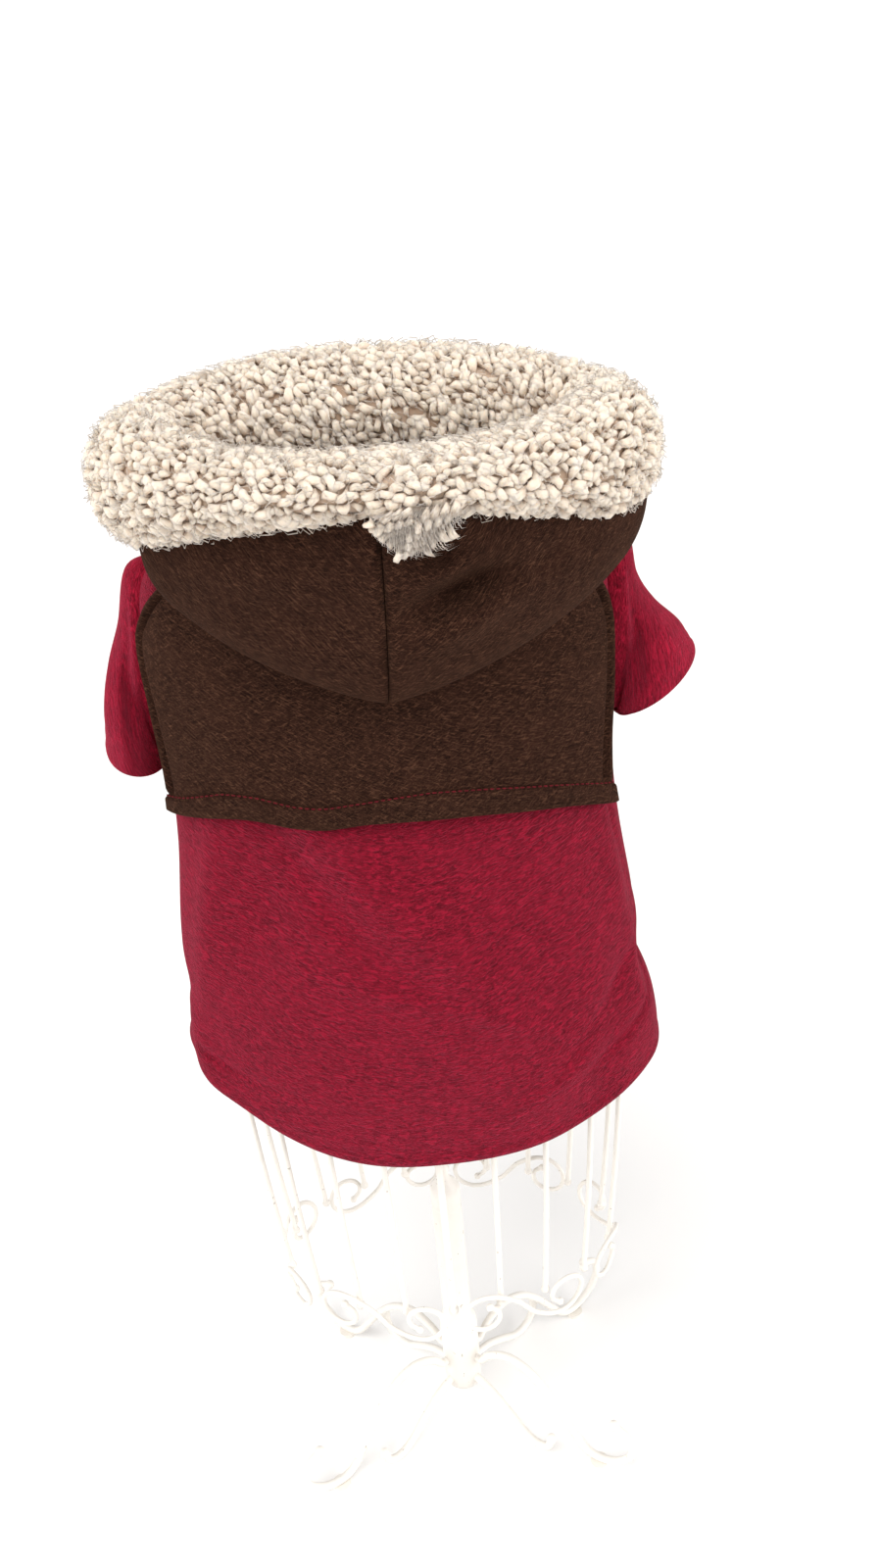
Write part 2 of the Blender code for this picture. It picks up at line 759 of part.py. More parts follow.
def make_legs(material, collection):
    for name, turns, table in (("leg_arch", FOOT_TURNS, LEG_ARCH), ("leg_brace", BRACE_TURNS, LEG_BRACE)):
        for index, degrees in enumerate(turns):
            turn = math.radians(degrees)
            points = [(out * math.sin(turn), -out * math.cos(turn), up) for out, up in table]
            make_wire("%s_%d" % (name, index + 1), points, LEG_RADIUS, material, collection)
    foot_out = LEG_ARCH[LEG_ARCH_FOOT_ROW][0]
    for index, degrees in enumerate(FOOT_TURNS):
        turn = math.radians(degrees)
        shape = bmesh.new()
        bmesh.ops.create_cone(
            shape, cap_ends=True, segments=16, radius1=PAD_RADIUS, radius2=PAD_RADIUS, depth=PAD_HEIGHT
        )
        bmesh.ops.translate(shape, verts=shape.verts, vec=(0, 0, PAD_HEIGHT / 2))
        mesh = bpy.data.meshes.new("foot_pad_%d" % (index + 1))
        shape.to_mesh(mesh)
        shape.free()
        pad = add_object(mesh.name, mesh, material, collection)
        pad.location = (foot_out * math.sin(turn), -foot_out * math.cos(turn), 0)


def place_all(collection):
    """Hang every piece on one empty, which puts the origin under the middle of the part."""
    placed = bpy.data.objects.new("part_place", None)
    placed.location = POLE_PLACE
    for item in list(collection.objects):
        item.parent = placed
    collection.objects.link(placed)


def main():
    clear_scene()
    collection = make_collection("hooded_fleece_pet_top")
    fleece = make_material("crimson_fleece", CRIMSON, 0.95)
    felt = make_material("brown_felt", BROWN, 0.95)
    pile = make_material("cream_pile", CREAM, 0.95)
    wire = make_material("white_wire", WHITE, 0.45)
    make_panels(fleece, collection)
    make_sleeves(fleece, collection)
    make_yoke(felt, collection)
    make_hood(felt, collection)
    make_fur(pile, collection)
    make_pole(wire, collection)
    make_bodice(wire, collection)
    make_hoops(wire, collection)
    make_skirt(wire, collection)
    make_scrolls(wire, collection)
    make_legs(wire, collection)
    place_all(collection)


main()
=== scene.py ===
"""Looks of a small dog's hooded fleece top on its white wire form.

Metres, +Z up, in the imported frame. A turn is an angle round the body, in radians, from the middle
of the back (0) past +X to the middle of the front (pi). Each table's first line names its columns.
"""

import math

import bmesh
import bpy
import numpy as np
from bpy.props import FloatProperty, FloatVectorProperty, IntProperty, PointerProperty
from mathutils import Matrix, Vector


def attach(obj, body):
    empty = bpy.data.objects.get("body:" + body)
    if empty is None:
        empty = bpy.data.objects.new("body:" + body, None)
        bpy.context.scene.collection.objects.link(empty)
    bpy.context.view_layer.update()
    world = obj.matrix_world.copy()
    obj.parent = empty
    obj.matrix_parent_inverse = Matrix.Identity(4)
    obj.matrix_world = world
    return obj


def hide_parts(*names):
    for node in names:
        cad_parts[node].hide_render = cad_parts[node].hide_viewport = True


bl_info = {
    "name": "Hooded fleece pet top",
    "version": (1, 0, 0),
    "blender": (4, 5, 0),
    "location": "3D View > Sidebar > Pet top",
    "description": "Dresses the packed frame of a small dog's hooded top and its wire form",
    "category": "Object",
}

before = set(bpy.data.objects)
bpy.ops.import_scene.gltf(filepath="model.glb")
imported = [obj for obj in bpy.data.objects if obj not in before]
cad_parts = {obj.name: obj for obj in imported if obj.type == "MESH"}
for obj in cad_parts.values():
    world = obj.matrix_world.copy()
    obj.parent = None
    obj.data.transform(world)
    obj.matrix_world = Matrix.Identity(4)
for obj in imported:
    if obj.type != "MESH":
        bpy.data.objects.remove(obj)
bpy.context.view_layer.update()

# Where the pole stands, from the middle of the whole part
POLE_PLACE = np.array((-0.002, 0.019, 0.0))

# Body
# z, middle, half_width, back, front
BODY = (
    (0.6280, -0.002, 0.054, 0.046, 0.024),
    (0.6230, -0.003, 0.072, 0.050, 0.031),
    (0.6150, -0.004, 0.0935, 0.054, 0.040),
    (0.6030, -0.005, 0.1095, 0.057, 0.048),
    (0.5800, -0.005, 0.1155, 0.059, 0.055),
    (0.5400, -0.005, 0.1160, 0.058, 0.060),
    (0.5000, -0.005, 0.1155, 0.057, 0.064),
    (0.4600, -0.005, 0.1180, 0.059, 0.068),
    (0.4100, -0.005, 0.1250, 0.065, 0.072),
    (0.3600, -0.003, 0.1310, 0.072, 0.074),
    (0.3200, -0.001, 0.1350, 0.077, 0.075),
    (0.2760, 0.000, 0.1320, 0.078, 0.074),
)
ROUNDNESS = 2.3
# Short steps along the body, from which its ways out are read
STEP_TURN = 0.02
STEP_Z = 0.0015
SIDE_TURN = math.radians(99)
NECK_Z = 0.6278
LOWEST_STRAIGHT_ROW = 0.486
HEM_MIDDLE = 0.282
HEM_RISE_LEFT = 0.053
HEM_RISE_RIGHT = 0.027
HEM_RISE_REACH = 0.80
FRONT_HEM = 0.345
SEAM_OPENING = 0.0009
# The turned hem's swell: its middle over the hem, its half width and its height
HEM_SWELL = (0.0022, 0.0030, 0.0009)

# Rows and columns of the cloth's grids, from the top down
NECK_ROWS = 13
ARMHOLE_ROWS = 34
UNDERARM_ROWS = 7
YOKE_COLUMNS = 170
YOKE_UPPER_ROWS = 60
YOKE_LOWER_ROWS = 40
STITCH_LINE_POINTS = 160
SLEEVE_ROWS = 46
SLEEVE_SIDES = 108
HOOD_COLUMNS = 78
HOOD_INNER_ROWS = 24
HOOD_OUTER_ROWS = 70
# node, middle_turn, half_turn, columns, rows under the armhole
PANEL_CUTS = (
    ("back_panel", 0.0, SIDE_TURN, 132, 104),
    ("front_panel", math.pi, math.pi - SIDE_TURN, 112, 84),
)
# How far each cloth's edge swells: at its ends, and at its sides
PANEL_RIMS = (0.0008, 0.0001)
SLEEVE_RIMS = (0.0007, 0.0)
YOKE_RIMS = (0.0009, 0.0004)
HOOD_RIMS = (0.0003, 0.0)

# Large folds, as in the solids
# turn_deg, z, width_deg, length, lean_deg, depth
FOLDS = (
    (-10, 0.430, 9, 0.085, 22, 0.0042),
    (-33, 0.430, 10, 0.060, -6, -0.0038),
    (-60, 0.335, 7, 0.040, 10, 0.0036),
    (26, 0.420, 11, 0.070, 12, -0.0030),
    (52, 0.350, 8, 0.055, -16, -0.0034),
    (66, 0.400, 7, 0.070, 4, 0.0030),
    (2, 0.310, 14, 0.040, 0, -0.0022),
    (150, 0.430, 12, 0.080, -10, 0.0036),
    (196, 0.400, 12, 0.080, 14, -0.0032),
    (222, 0.450, 9, 0.060, 0, 0.0030),
    (-88, 0.376, 15, 0.011, 0, -0.0042),
    (86, 0.367, 16, 0.014, 0, -0.0066),
)

# Smaller creases of the fleece
# turn_deg, z, width_deg, length, lean_deg, depth
CREASES = (
    (2, 0.428, 7, 0.085, 22, 0.0040),
    (-14, 0.440, 6, 0.060, 18, -0.0046),
    (-54, 0.430, 7, 0.075, -8, 0.0036),
    (-24, 0.462, 5, 0.030, -14, -0.0014),
    (-17, 0.470, 4, 0.026, -20, 0.0010),
    (-74, 0.352, 5, 0.016, 30, -0.0022),
    (-70, 0.325, 6, 0.016, 20, 0.0014),
    (60, 0.372, 4, 0.030, -24, -0.0016),
    (74, 0.348, 4, 0.020, -30, -0.0020),
    (70, 0.460, 2.4, 0.035, 4, -0.0018),
    (36, 0.330, 6, 0.022, -20, 0.0012),
    (-40, 0.318, 7, 0.022, 24, 0.0010),
    (12, 0.372, 6, 0.030, 30, 0.0011),
    (128, 0.470, 6, 0.040, 20, -0.0018),
    (172, 0.520, 8, 0.050, -20, 0.0016),
    (205, 0.480, 5, 0.050, 24, -0.0018),
    (238, 0.540, 6, 0.040, -18, 0.0014),
    (160, 0.370, 7, 0.020, 30, -0.0013),
    (214, 0.372, 6, 0.018, -26, 0.0012),
)

# Armholes
ARMHOLE_Z = 0.5555
ARMHOLE_HALF_HEIGHT = 0.0545
ARMHOLE_HALF_TURN = math.radians(20)

# Yoke
YOKE_TOP = 0.619
YOKE_HEM = 0.4830
YOKE_LIFT_TOP = 0.0008
YOKE_LIFT_HEM = 0.0022
YOKE_BAND_RAISE = 0.0008
YOKE_WAVE = 0.0012
YOKE_WAVES_PER_TURN = 5.0
YOKE_WAVE_START = 0.6
# Height of the yoke's free hem, from its right edge (1) to its left edge (-1)
# across, z
YOKE_HEM_LINE = (
    (1.00, 0.4705),
    (0.65, 0.4790),
    (0.33, 0.4838),
    (0.09, 0.4855),
    (-0.06, 0.4860),
    (-0.19, 0.4843),
    (-0.29, 0.4857),
    (-0.43, 0.4888),
    (-0.58, 0.4895),
    (-1.00, 0.4861),
)
YOKE_STRAIGHT_ROW = 0.505
# The turned up hem: its thickness against YOKE_BAND_RAISE, and the softness of its step
YOKE_TURN_UP = 2.2
YOKE_STEP_SOFTNESS = 0.0004
# The row of stitches: how deep it is pressed in, how wide, and how far the thread stands out of that
STITCH_PRESS = 0.0013
STITCH_PRESS_WIDTH = 0.0010
STITCH_STAND = 0.0009
STITCHED_SHARE = 0.99
# The piped sides' groove and the round edge outside it
# distance from the side, width, height
YOKE_PIPING = (
    (0.0070, 0.0016, -0.0028),
    (0.0035, 0.0030, 0.0016),
)
PIPING_FADE = 0.004
# Mean radius of the body there, which turns an angle into a length
YOKE_TURN_RADIUS = 0.085
# z, left_deg, right_deg
YOKE_EDGE = (
    (0.619, 47.0, 47.0),
    (0.604, 56.0, 57.0),
    (0.591, 66.0, 63.5),
    (0.576, 75.5, 71.0),
    (0.560, 77.0, 74.0),
    (0.535, 74.0, 73.0),
    (0.505, 70.5, 69.0),
    (0.483, 68.5, 66.0),
)
# x of the body, height of the topstitching over the hem
YOKE_BAND = (
    (-0.120, 0.0070),
    (-0.105, 0.0085),
    (-0.085, 0.0122),
    (-0.068, 0.0122),
    (-0.050, 0.0100),
    (-0.018, 0.0102),
    (0.014, 0.0132),
    (0.045, 0.0124),
    (0.080, 0.0106),
    (0.120, 0.0100),
)

# Sleeves, from the armhole out to the cuff
# swing_deg, reach, half_depth, drop
SLEEVE_RIGHT = (
    (4, 0.0985, 0.0234, 0.000),
    (10, 0.0745, 0.0245, 0.000),
    (21, 0.0620, 0.0305, 0.000),
    (38, 0.0570, 0.0320, 0.000),
    (53, 0.0530, 0.0310, 0.000),
)
SLEEVE_LEFT = (
    (1, 0.0985, 0.0232, 0.000),
    (8, 0.0735, 0.0245, 0.000),
    (18, 0.0580, 0.0305, 0.001),
    (34, 0.0440, 0.0325, 0.004),
    (62, 0.0320, 0.0320, 0.008),
)
UNDERARM_LIFT = 0.0050
UNDERARM_SHARE = 0.91
ROOT_SHARE = 0.985
# How each crease leans, and where along the sleeve creases fade in and out
SLEEVE_CREASE_LEAN = 0.6
SLEEVE_FADE_ROOT = 0.15
SLEEVE_FADE_CUFF = 0.10
# The turned cuff and the groove over it
# place along the sleeve, width, height
CUFF_RIDGES = (
    (0.965, 0.020, 0.0006),
    (0.860, 0.010, -0.0005),
)
# place along the sleeve, angle_deg from its top, width, width_deg, depth
SLEEVE_CREASES = (
    (0.30, -60, 0.12, 16, -0.0022),
    (0.55, -96, 0.16, 14, -0.0020),
    (0.70, -48, 0.14, 18, 0.0014),
    (0.42, -130, 0.10, 16, 0.0012),
    (0.35, 60, 0.12, 16, -0.0020),
    (0.60, 100, 0.16, 15, -0.0018),
    (0.78, 40, 0.12, 20, 0.0012),
)

# Hood, folded down the back
HOOD_TIP = 0.5490
HOOD_POINTEDNESS = 1.15
HOOD_DEPTH_MIDDLE = 0.0400
HOOD_EDGE = 0.0045
HOOD_EDGE_INNER = 0.0030
HOOD_EDGE_OUTER = 0.0018
HOOD_FACING_Z = 0.560
HOOD_FULLNESS = 2.3
HOOD_EASE_FROM = 0.590
HOOD_EASE = 0.22
HOOD_SPAN = 0.0850
HOOD_UNDER_PILE = 0.0006
HOOD_TOP_STEPS = 12
HOOD_TUCK = 0.0020
HOOD_TUCK_MOST = 0.0100
SEAM_SHIFT_LOW = 0.0032
SEAM_SHIFT_TOP = 0.0094
SEAM_SHIFT_REACH = 0.35
SEAM_HALF_GAP = 0.00015
# The seam's groove and the round edge beside it
# distance from the seam, width, height
SEAM_RIDGES = (
    (0.0000, 0.0016, -0.0017),
    (0.0050, 0.0030, 0.0008),
)
HOOD_OVER_YOKE = 0.0006
HOOD_RISE_POWER = 1.4
HOOD_CREASE_FADE = 0.06
# Depth of a crease at its ends, as a share of its middle's
HOOD_CREASE_END = 0.35
# How many steps round half the roll its underside is read at
PILE_STEPS = 90
# side, corner_deg, corner_depth, corner_rise, inner_top
HOOD_HALVES = (
    (-1, 57, 0.0150, 0.0670, 0.6150),
    (1, 72, 0.0240, 0.0560, 0.6100),
)
# soft troughs and ridges of the outer felt, from one end to the other
# x_start, rise_start, x_end, rise_end, width, depth
HOOD_CREASES = (
    (0.004, 0.52, 0.050, 0.66, 0.007, -0.0125),
    (0.008, 0.34, 0.056, 0.50, 0.009, 0.0060),
    (0.006, 0.84, 0.032, 0.76, 0.006, -0.0075),
    (0.010, 0.68, 0.036, 0.80, 0.006, 0.0040),
    (-0.008, 0.42, -0.050, 0.50, 0.014, -0.0022),
    (-0.030, 0.78, -0.075, 0.70, 0.012, 0.0020),
    (0.060, 0.62, 0.082, 0.80, 0.008, -0.0020),
)

# Pile roll round the hood's mouth: a row each for the near side, both ends and the far side
# z, half_across, half_height
PILE = (
    (0.6500, 0.0280, 0.0150),
    (0.6525, 0.0240, 0.0300),
    (0.6640, 0.0320, 0.0340),
)
PILE_HALF_LENGTH = 0.1020
PILE_MIDDLE_X = 0.0035
PILE_NEAR_Y = -0.0850
PILE_FAR_Y = 0.0060
PILE_TILT = 0.020
PILE_SQUARENESS = 0.80
PILE_RINGS = 61
PILE_SIDES = 30
# How far the locks' flow slants up along the roll
PILE_SLANT = 0.38
LOCKS_PER_AREA = 260000.0
RUFFLE_SCALE = 210.0
# Most that a lock is turned about each of its own axes, in radians
LOCK_SWAY = (0.50, 0.45, 0.95)
# The shape of one lock: where its rings start and stop, how full it is, its root, arch and sink, bend,
# twist and strands
LOCK_ENDS = (0.02, 0.98)
LOCK_FULLNESS = 0.85
LOCK_ROOT = 0.42
LOCK_ARCH = (1.55, -0.45)
LOCK_BEND = 0.10
LOCK_TWIST = 2.4
LOCK_STRANDS = 0.16
# length, width, height, lift, sides, rings
LOCK = (0.0084, 0.0023, 0.0019, 0.0018, 6, 6)
FIBRE = (0.0085, 0.00020, 0.00020, 0.0046, 3, 4)
# A tuft that hangs over the hood's top edge, in rows from the lowest up
# x_low, x_high, y, z, count, length
TUFT = (
    (0.0110, 0.0240, -0.1085, 0.6300, 8, 0.95),
    (0.0070, 0.0290, -0.1095, 0.6335, 13, 0.90),
    (0.0040, 0.0330, -0.1105, 0.6370, 16, 0.85),
    (0.0020, 0.0360, -0.1120, 0.6405, 16, 0.85),
)
TUFT_LEAN = math.radians(48)
TUFT_WANDER = 0.0021
TUFT_FIBRES = 9
# How the lean falls from one end of a row to the other, and how much of it, and of the spin, is at random
TUFT_LEAN_START = 0.6
TUFT_LEAN_FALL = 1.2
TUFT_LEAN_RANDOM = 1.3
TUFT_SPIN_RANDOM = 1.4
TUFT_LENGTH_RANDOM = 0.6
TUFT_THICKNESS = 0.95
GOLDEN = 0.618034

# Wire form
RIB_RADIUS = 0.0017
CENTRE_RIB_RADIUS = 0.0020
SCROLL_RADIUS = 0.0015
LEG_RADIUS = 0.0026
WIRE_GAP = 0.0004
WIRE_SIDES = 12
FOOT_SIDES = 14
FOOT_BALL = 1.3
ROUND_END_RINGS = 5
BALL_END_RINGS = 8
# Where the rings of a round end stop, in radians from its root, just short of its tip
END_STOP = 0.96 * math.pi
RIB_POINTS = 20
RIB_BALL_LIFT = 0.002
SCROLL_POINTS = 96
LEG_POINTS_PER_ROW = 6
POLE_SIDES = 48
POLE_SHARP_EDGE = math.radians(55)
SKIRT_RIB_COUNT = 18
SCROLL_COUNT = 6
SKIRT_ROWS = (0.342, 0.290, 0.230, 0.185, 0.152)
# z, half_width, depth
CAGE = (
    (0.345, 0.1160, 0.0640),
    (0.290, 0.1140, 0.0625),
    (0.230, 0.1110, 0.0610),
    (0.180, 0.1070, 0.0600),
    (0.120, 0.1010, 0.0590),
)
SCROLL_MIDDLE_Z = 0.1470
SCROLL_CURL = 0.0160
SCROLL_CURL_END = 0.0070
SCROLL_CURL_OFFSET = 0.0255
SCROLL_CURL_START_DEG = -118
SCROLL_CURL_STOP_DEG = 235
SCROLL_CURL_STEPS = 9
SCROLL_WAIST = ((0.0, 0.0), (0.006, -0.0070))
FOOT_TURNS = (-125, -55, 55, 125)
BRACE_TURNS = (-135, -45, 45, 135)
# out, up
LEG_ARCH = (
    (0.0127, 0.0442),
    (0.0165, 0.0443),
    (0.0240, 0.0530),
    (0.0380, 0.0600),
    (0.0540, 0.0560),
    (0.0680, 0.0430),
    (0.0800, 0.0260),
    (0.0920, 0.0100),
    (0.1040, 0.0062),
    (0.1180, 0.0120),
    (0.1270, 0.0240),
    (0.1260, 0.0370),
    (0.1170, 0.0430),
)
# out, up
LEG_BRACE = (
    (0.0127, 0.0275),
    (0.0180, 0.0268),
    (0.0280, 0.0240),
    (0.0420, 0.0160),
    (0.0540, 0.0080),
    (0.0650, 0.0062),
    (0.0740, 0.0110),
    (0.0770, 0.0190),
)
# radius, z
POLE = (
    (0.0000, 0.6140),
    (0.0262, 0.6135),
    (0.0278, 0.6126),
    (0.0285, 0.6110),
    (0.0278, 0.6096),
    (0.0262, 0.6088),
    (0.0060, 0.6066),
    (0.0032, 0.6050),
    (0.0030, 0.6020),
    (0.0030, 0.2030),
    (0.0034, 0.2006),
    (0.0082, 0.1950),
    (0.0093, 0.1932),
    (0.0095, 0.1905),
    (0.0095, 0.1800),
    (0.0088, 0.1790),
    (0.0088, 0.1770),
    (0.0095, 0.1760),
    (0.0095, 0.0840),
    (0.0098, 0.0815),
    (0.0118, 0.0775),
    (0.0125, 0.0750),
    (0.0125, 0.0235),
    (0.0120, 0.0205),
    (0.0100, 0.0183),
    (0.0000, 0.0180),
)

# The photograph's camera: place from the pole, angles, and focal length in pixels of its frame
CAMERA_PLACE = np.array((0.019, -0.570, 0.740))
CAMERA_PITCH = math.radians(25)
CAMERA_ROLL = math.radians(5)
FOCAL_PIXELS = 1200
FRAME_HEIGHT = 1600
SENSOR_HEIGHT = 24.0
# Where the soft lights come from, and how strong each is
# x, y, z, share
LIGHTS = (
    (-0.20, -0.50, 0.84, 1.00),
    (0.88, -0.34, 0.34, 1.35),
    (-0.90, -0.30, 0.34, 1.05),
)


def colour_field(name, description, colour):
    return FloatVectorProperty(
        name=name, description=description, subtype="COLOR", size=4, min=0, max=1, default=colour + (1,),
    )


def length_field(name, description, default):
    return FloatProperty(name=name, description=description, default=default, unit="LENGTH")


def share_field(name, description, default):
    return FloatProperty(name=name, description=description, default=default)


class ClothSettings(bpy.types.PropertyGroup):
    """Sizes and colours of the fleece, the felt and their thread."""

    fleece_colour: colour_field("Fleece", "Colour of the body's fleece", (0.205, 0.0050, 0.0180))
    # Painted light: the sleeves' fleece is the body's colour made paler, standing in for the stronger light
    # on them
    sleeve_painted_light: share_field("Sleeve lift", "How much paler the sleeves look than the body", 1.55)
    felt_colour: colour_field("Felt", "Colour of the yoke and the hood", (0.0275, 0.0110, 0.0068))
    thread_colour: colour_field("Thread", "Colour of the yoke's topstitching", (0.110, 0.006, 0.010))
    fleece_wall: length_field("Fleece thickness", "Thickness of the fleece's wall", 0.0022)
    felt_wall: length_field("Felt thickness", "Thickness of the yoke's felt", 0.0020)
    hood_wall: length_field("Hood thickness", "Thickness of the hood's folded felt", 0.0012)
    stitch_pitch: length_field("Stitch pitch", "From one stitch to the next", 0.0031)
    stitch_length: length_field("Stitch length", "Length of thread that shows", 0.0023)
    stitch_radius: length_field("Thread radius", "Half the thread's thickness", 0.00042)


class PileSettings(bpy.types.PropertyGroup):
    """Sizes and colours of the curly pile, and the colour of its painted shade."""

    colour: colour_field("Pile", "Colour of the locks' crests", (0.92, 0.79, 0.655))
    # Painted shade: the brown deep between the locks stands in for the shade there
    painted_shade_colour: colour_field("Roots", "Colour deep between the locks", (0.58, 0.43, 0.32))
    spacing: length_field("Lock spacing", "Least distance between two locks", 0.0027)
    fuzz_spacing: length_field("Fibre spacing", "Least distance between two loose fibres", 0.0020)
    depth: length_field("Pile depth", "From the cloth to the tips", 0.0042)
    smallest: share_field("Smallest lock", "Scale of the smallest lock", 0.66)
    largest: share_field("Largest lock", "Scale of the largest lock", 1.28)
    ruffle: length_field("Ruffle", "How far points of a lock wander", 0.0018)
    seed: IntProperty(name="Seed", description="Seed of the locks' places", default=7)


class FormSettings(bpy.types.PropertyGroup):
    """Finish of the wire form."""

    paint_colour: colour_field("Paint", "Colour of the painted wire", (0.83, 0.79, 0.73))
    ball: share_field("Ball ends", "How much wider than its wire a ball end is", 1.55)


class StageSettings(bpy.types.PropertyGroup):
    """Floor and light."""

    floor_colour: colour_field("Floor", "Colour of the plain floor", (0.955, 0.945, 0.935))
    sky: share_field("Sky", "Strength of the even light", 0.50)
    backdrop: share_field("Backdrop", "Strength of the backdrop as the camera sees it", 1.15)
    key: share_field("Key", "Strength of the main soft light", 1.5)
    key_spread: FloatProperty(
        name="Key spread", description="Angle over which the main light spreads",
        default=math.radians(40), subtype="ANGLE",
    )
    reach: length_field("Reach", "Half the floor's width", 30.0)


def smooth_columns(table, place):
    """Every column of a falling table, read at an array of heights by a smooth curve through its rows."""
    rows = np.array(table, float)[::-1]
    heights = rows[:, 0]
    place = np.clip(place, heights[0], heights[-1])
    first = np.clip(np.searchsorted(heights, place, side="right") - 1, 0, len(rows) - 2)
    before = np.maximum(first - 1, 0)
    second = first + 1
    after = np.minimum(first + 2, len(rows) - 1)
    span = heights[second] - heights[first]
    share = (place - heights[first]) / span
    square = share * share
    cube = square * share
    columns = []
    for column in range(1, rows.shape[1]):
        value = rows[:, column]
        slope_first = (value[second] - value[before]) / (heights[second] - heights[before]) * span
        slope_second = (value[after] - value[first]) / (heights[after] - heights[first]) * span
        columns.append(
            (2 * cube - 3 * square + 1) * value[first]
            + (cube - 2 * square + share) * slope_first
            + (3 * square - 2 * cube) * value[second]
            + (cube - square) * slope_second
        )
    return columns


def smooth_path(points, steps):
    """An array of points or rings, read more finely by a smooth curve along its first axis."""
    points = np.asarray(points, float)
    last = len(points) - 1
    place = np.linspace(0, last, steps + 1)
    first = np.minimum(place.astype(int), last - 1)
    share = (place - first).reshape((-1,) + (1,) * (points.ndim - 1))
    low, start, stop, high = (points[np.clip(first + step, 0, last)] for step in (-1, 0, 1, 2))
    return 0.5 * (
        2 * start
        + (stop - low) * share
        + (2 * low - 5 * start + 4 * stop - high) * share ** 2
        + (3 * start - low - 3 * stop + high) * share ** 3
    )


def unit(vectors):
    return vectors / np.maximum(np.linalg.norm(vectors, axis=-1, keepdims=True), 1e-12)


def signed_power(value, power):
    return np.sign(value) * np.abs(value) ** power


def mix(low, high, share):
    return low + (high - low) * share


def ridge(place, middle, width, height):
    """Height of a soft ridge, or of a trough where its height is below 0."""
    return height * np.exp(-((place - middle) / width) ** 2)


def plain_body_points(turn, z):
    middle, half_width, back, front = smooth_columns(BODY, z)
    across = signed_power(np.sin(turn), 2 / ROUNDNESS)
    along = signed_power(np.cos(turn), 2 / ROUNDNESS)
    depth = np.where(along > 0, back, front)
    return np.stack([middle + half_width * across, -depth * along, z + 0 * turn], axis=-1) + POLE_PLACE


def plain_body_normals(turn, z):
    """The way out of the body, from two short steps along it."""
    high = np.minimum(z + STEP_Z, BODY[0][0])
    low = np.maximum(z - STEP_Z, BODY[-1][0])
    round_body = plain_body_points(turn + STEP_TURN, z) - plain_body_points(turn - STEP_TURN, z)
    up_body = plain_body_points(turn, high) - plain_body_points(turn, low)
    return unit(np.cross(round_body, up_body))


def fold_height(turn, z, table):
    total = 0.0 * turn * z
    degrees = np.degrees(turn)
    for fold_turn, fold_z, width, length, lean, depth in table:
        rise = (z - fold_z) / length
        away = (degrees - fold_turn + 180) % 360 - 180
        side = (away + lean * rise) / width
        total = total + depth * np.exp(-side * side - rise * rise)
    return total


def body_points(turn, z, lift=0.0, creased=0.0):
    """Points on the body's outer side, moved out by a lift, with a share of the smaller creases (0 to 1)."""
    height = lift + fold_height(turn, z, FOLDS) + creased * fold_height(turn, z, CREASES)
    return plain_body_points(turn, z) + plain_body_normals(turn, z) * np.asarray(height)[..., None]


def armhole_half_turn(z):
    share = (z - ARMHOLE_Z) / ARMHOLE_HALF_HEIGHT
    return ARMHOLE_HALF_TURN * np.sqrt(np.maximum(0.0, 1 - share * share))


def back_hem(across):
    rise = np.where(across < 0, HEM_RISE_LEFT, HEM_RISE_RIGHT)
    share = np.minimum(1.0, np.abs(across) / HEM_RISE_REACH)
    return HEM_MIDDLE + rise * np.sin(0.5 * math.pi * share) ** 2


def front_hem(across):
    side = HEM_MIDDLE + np.where(across > 0, HEM_RISE_LEFT, HEM_RISE_RIGHT)
    return mix(FRONT_HEM, side, np.abs(across) ** 4)


def grid_normals(points, closed):
    """The ways out of a grid of points, away from its middle."""
    down = np.gradient(points, axis=0)
    if closed:
        along = (np.roll(points, -1, axis=1) - np.roll(points, 1, axis=1)) / 2
    else:
        along = np.gradient(points, axis=1)
    ways = unit(np.cross(down, along))
    outward = np.sum(ways * (points - points.mean(axis=(0, 1))))
    return ways if outward > 0 else -ways


def grid_places(points, closed):
    """Each point's place on the flat cloth, in metres: along its row, and down its middle column."""
    ring = np.concatenate([points, points[:, :1]], axis=1) if closed else points
    steps = np.linalg.norm(np.diff(ring, axis=1), axis=-1)
    along = np.concatenate([np.zeros((len(ring), 1)), np.cumsum(steps, axis=1)], axis=1)
    along = along - along[:, [along.shape[1] // 2]]
    drops = np.linalg.norm(np.diff(ring, axis=0), axis=-1)
    down = np.concatenate([np.zeros((1, ring.shape[1])), -np.cumsum(drops, axis=0)], axis=0)
    return np.stack([along, down], axis=-1)


def new_object(name, data):
    """An object in the scene's own collection."""
    item = bpy.data.objects.new(name, data)
    bpy.context.scene.collection.objects.link(item)
    return item


def new_piece(name, points, faces, material, corners=None, tidy=True):
    """An object from points and faces, with its faces turned outwards and a cloth map from corner places."""
    mesh = bpy.data.meshes.new(name)
    mesh.from_pydata(np.asarray(points, float).tolist(), [], faces)
    if corners is not None:
        mesh.uv_layers.new(name="cloth").data.foreach_set("uv", np.asarray(corners, float).ravel())
    if tidy:
        shape = bmesh.new()
        shape.from_mesh(mesh)
        bmesh.ops.recalc_face_normals(shape, faces=shape.faces)
        shape.to_mesh(mesh)
        shape.free()
    mesh.materials.append(material)
    mesh.shade_smooth()
    return new_object(name, mesh)


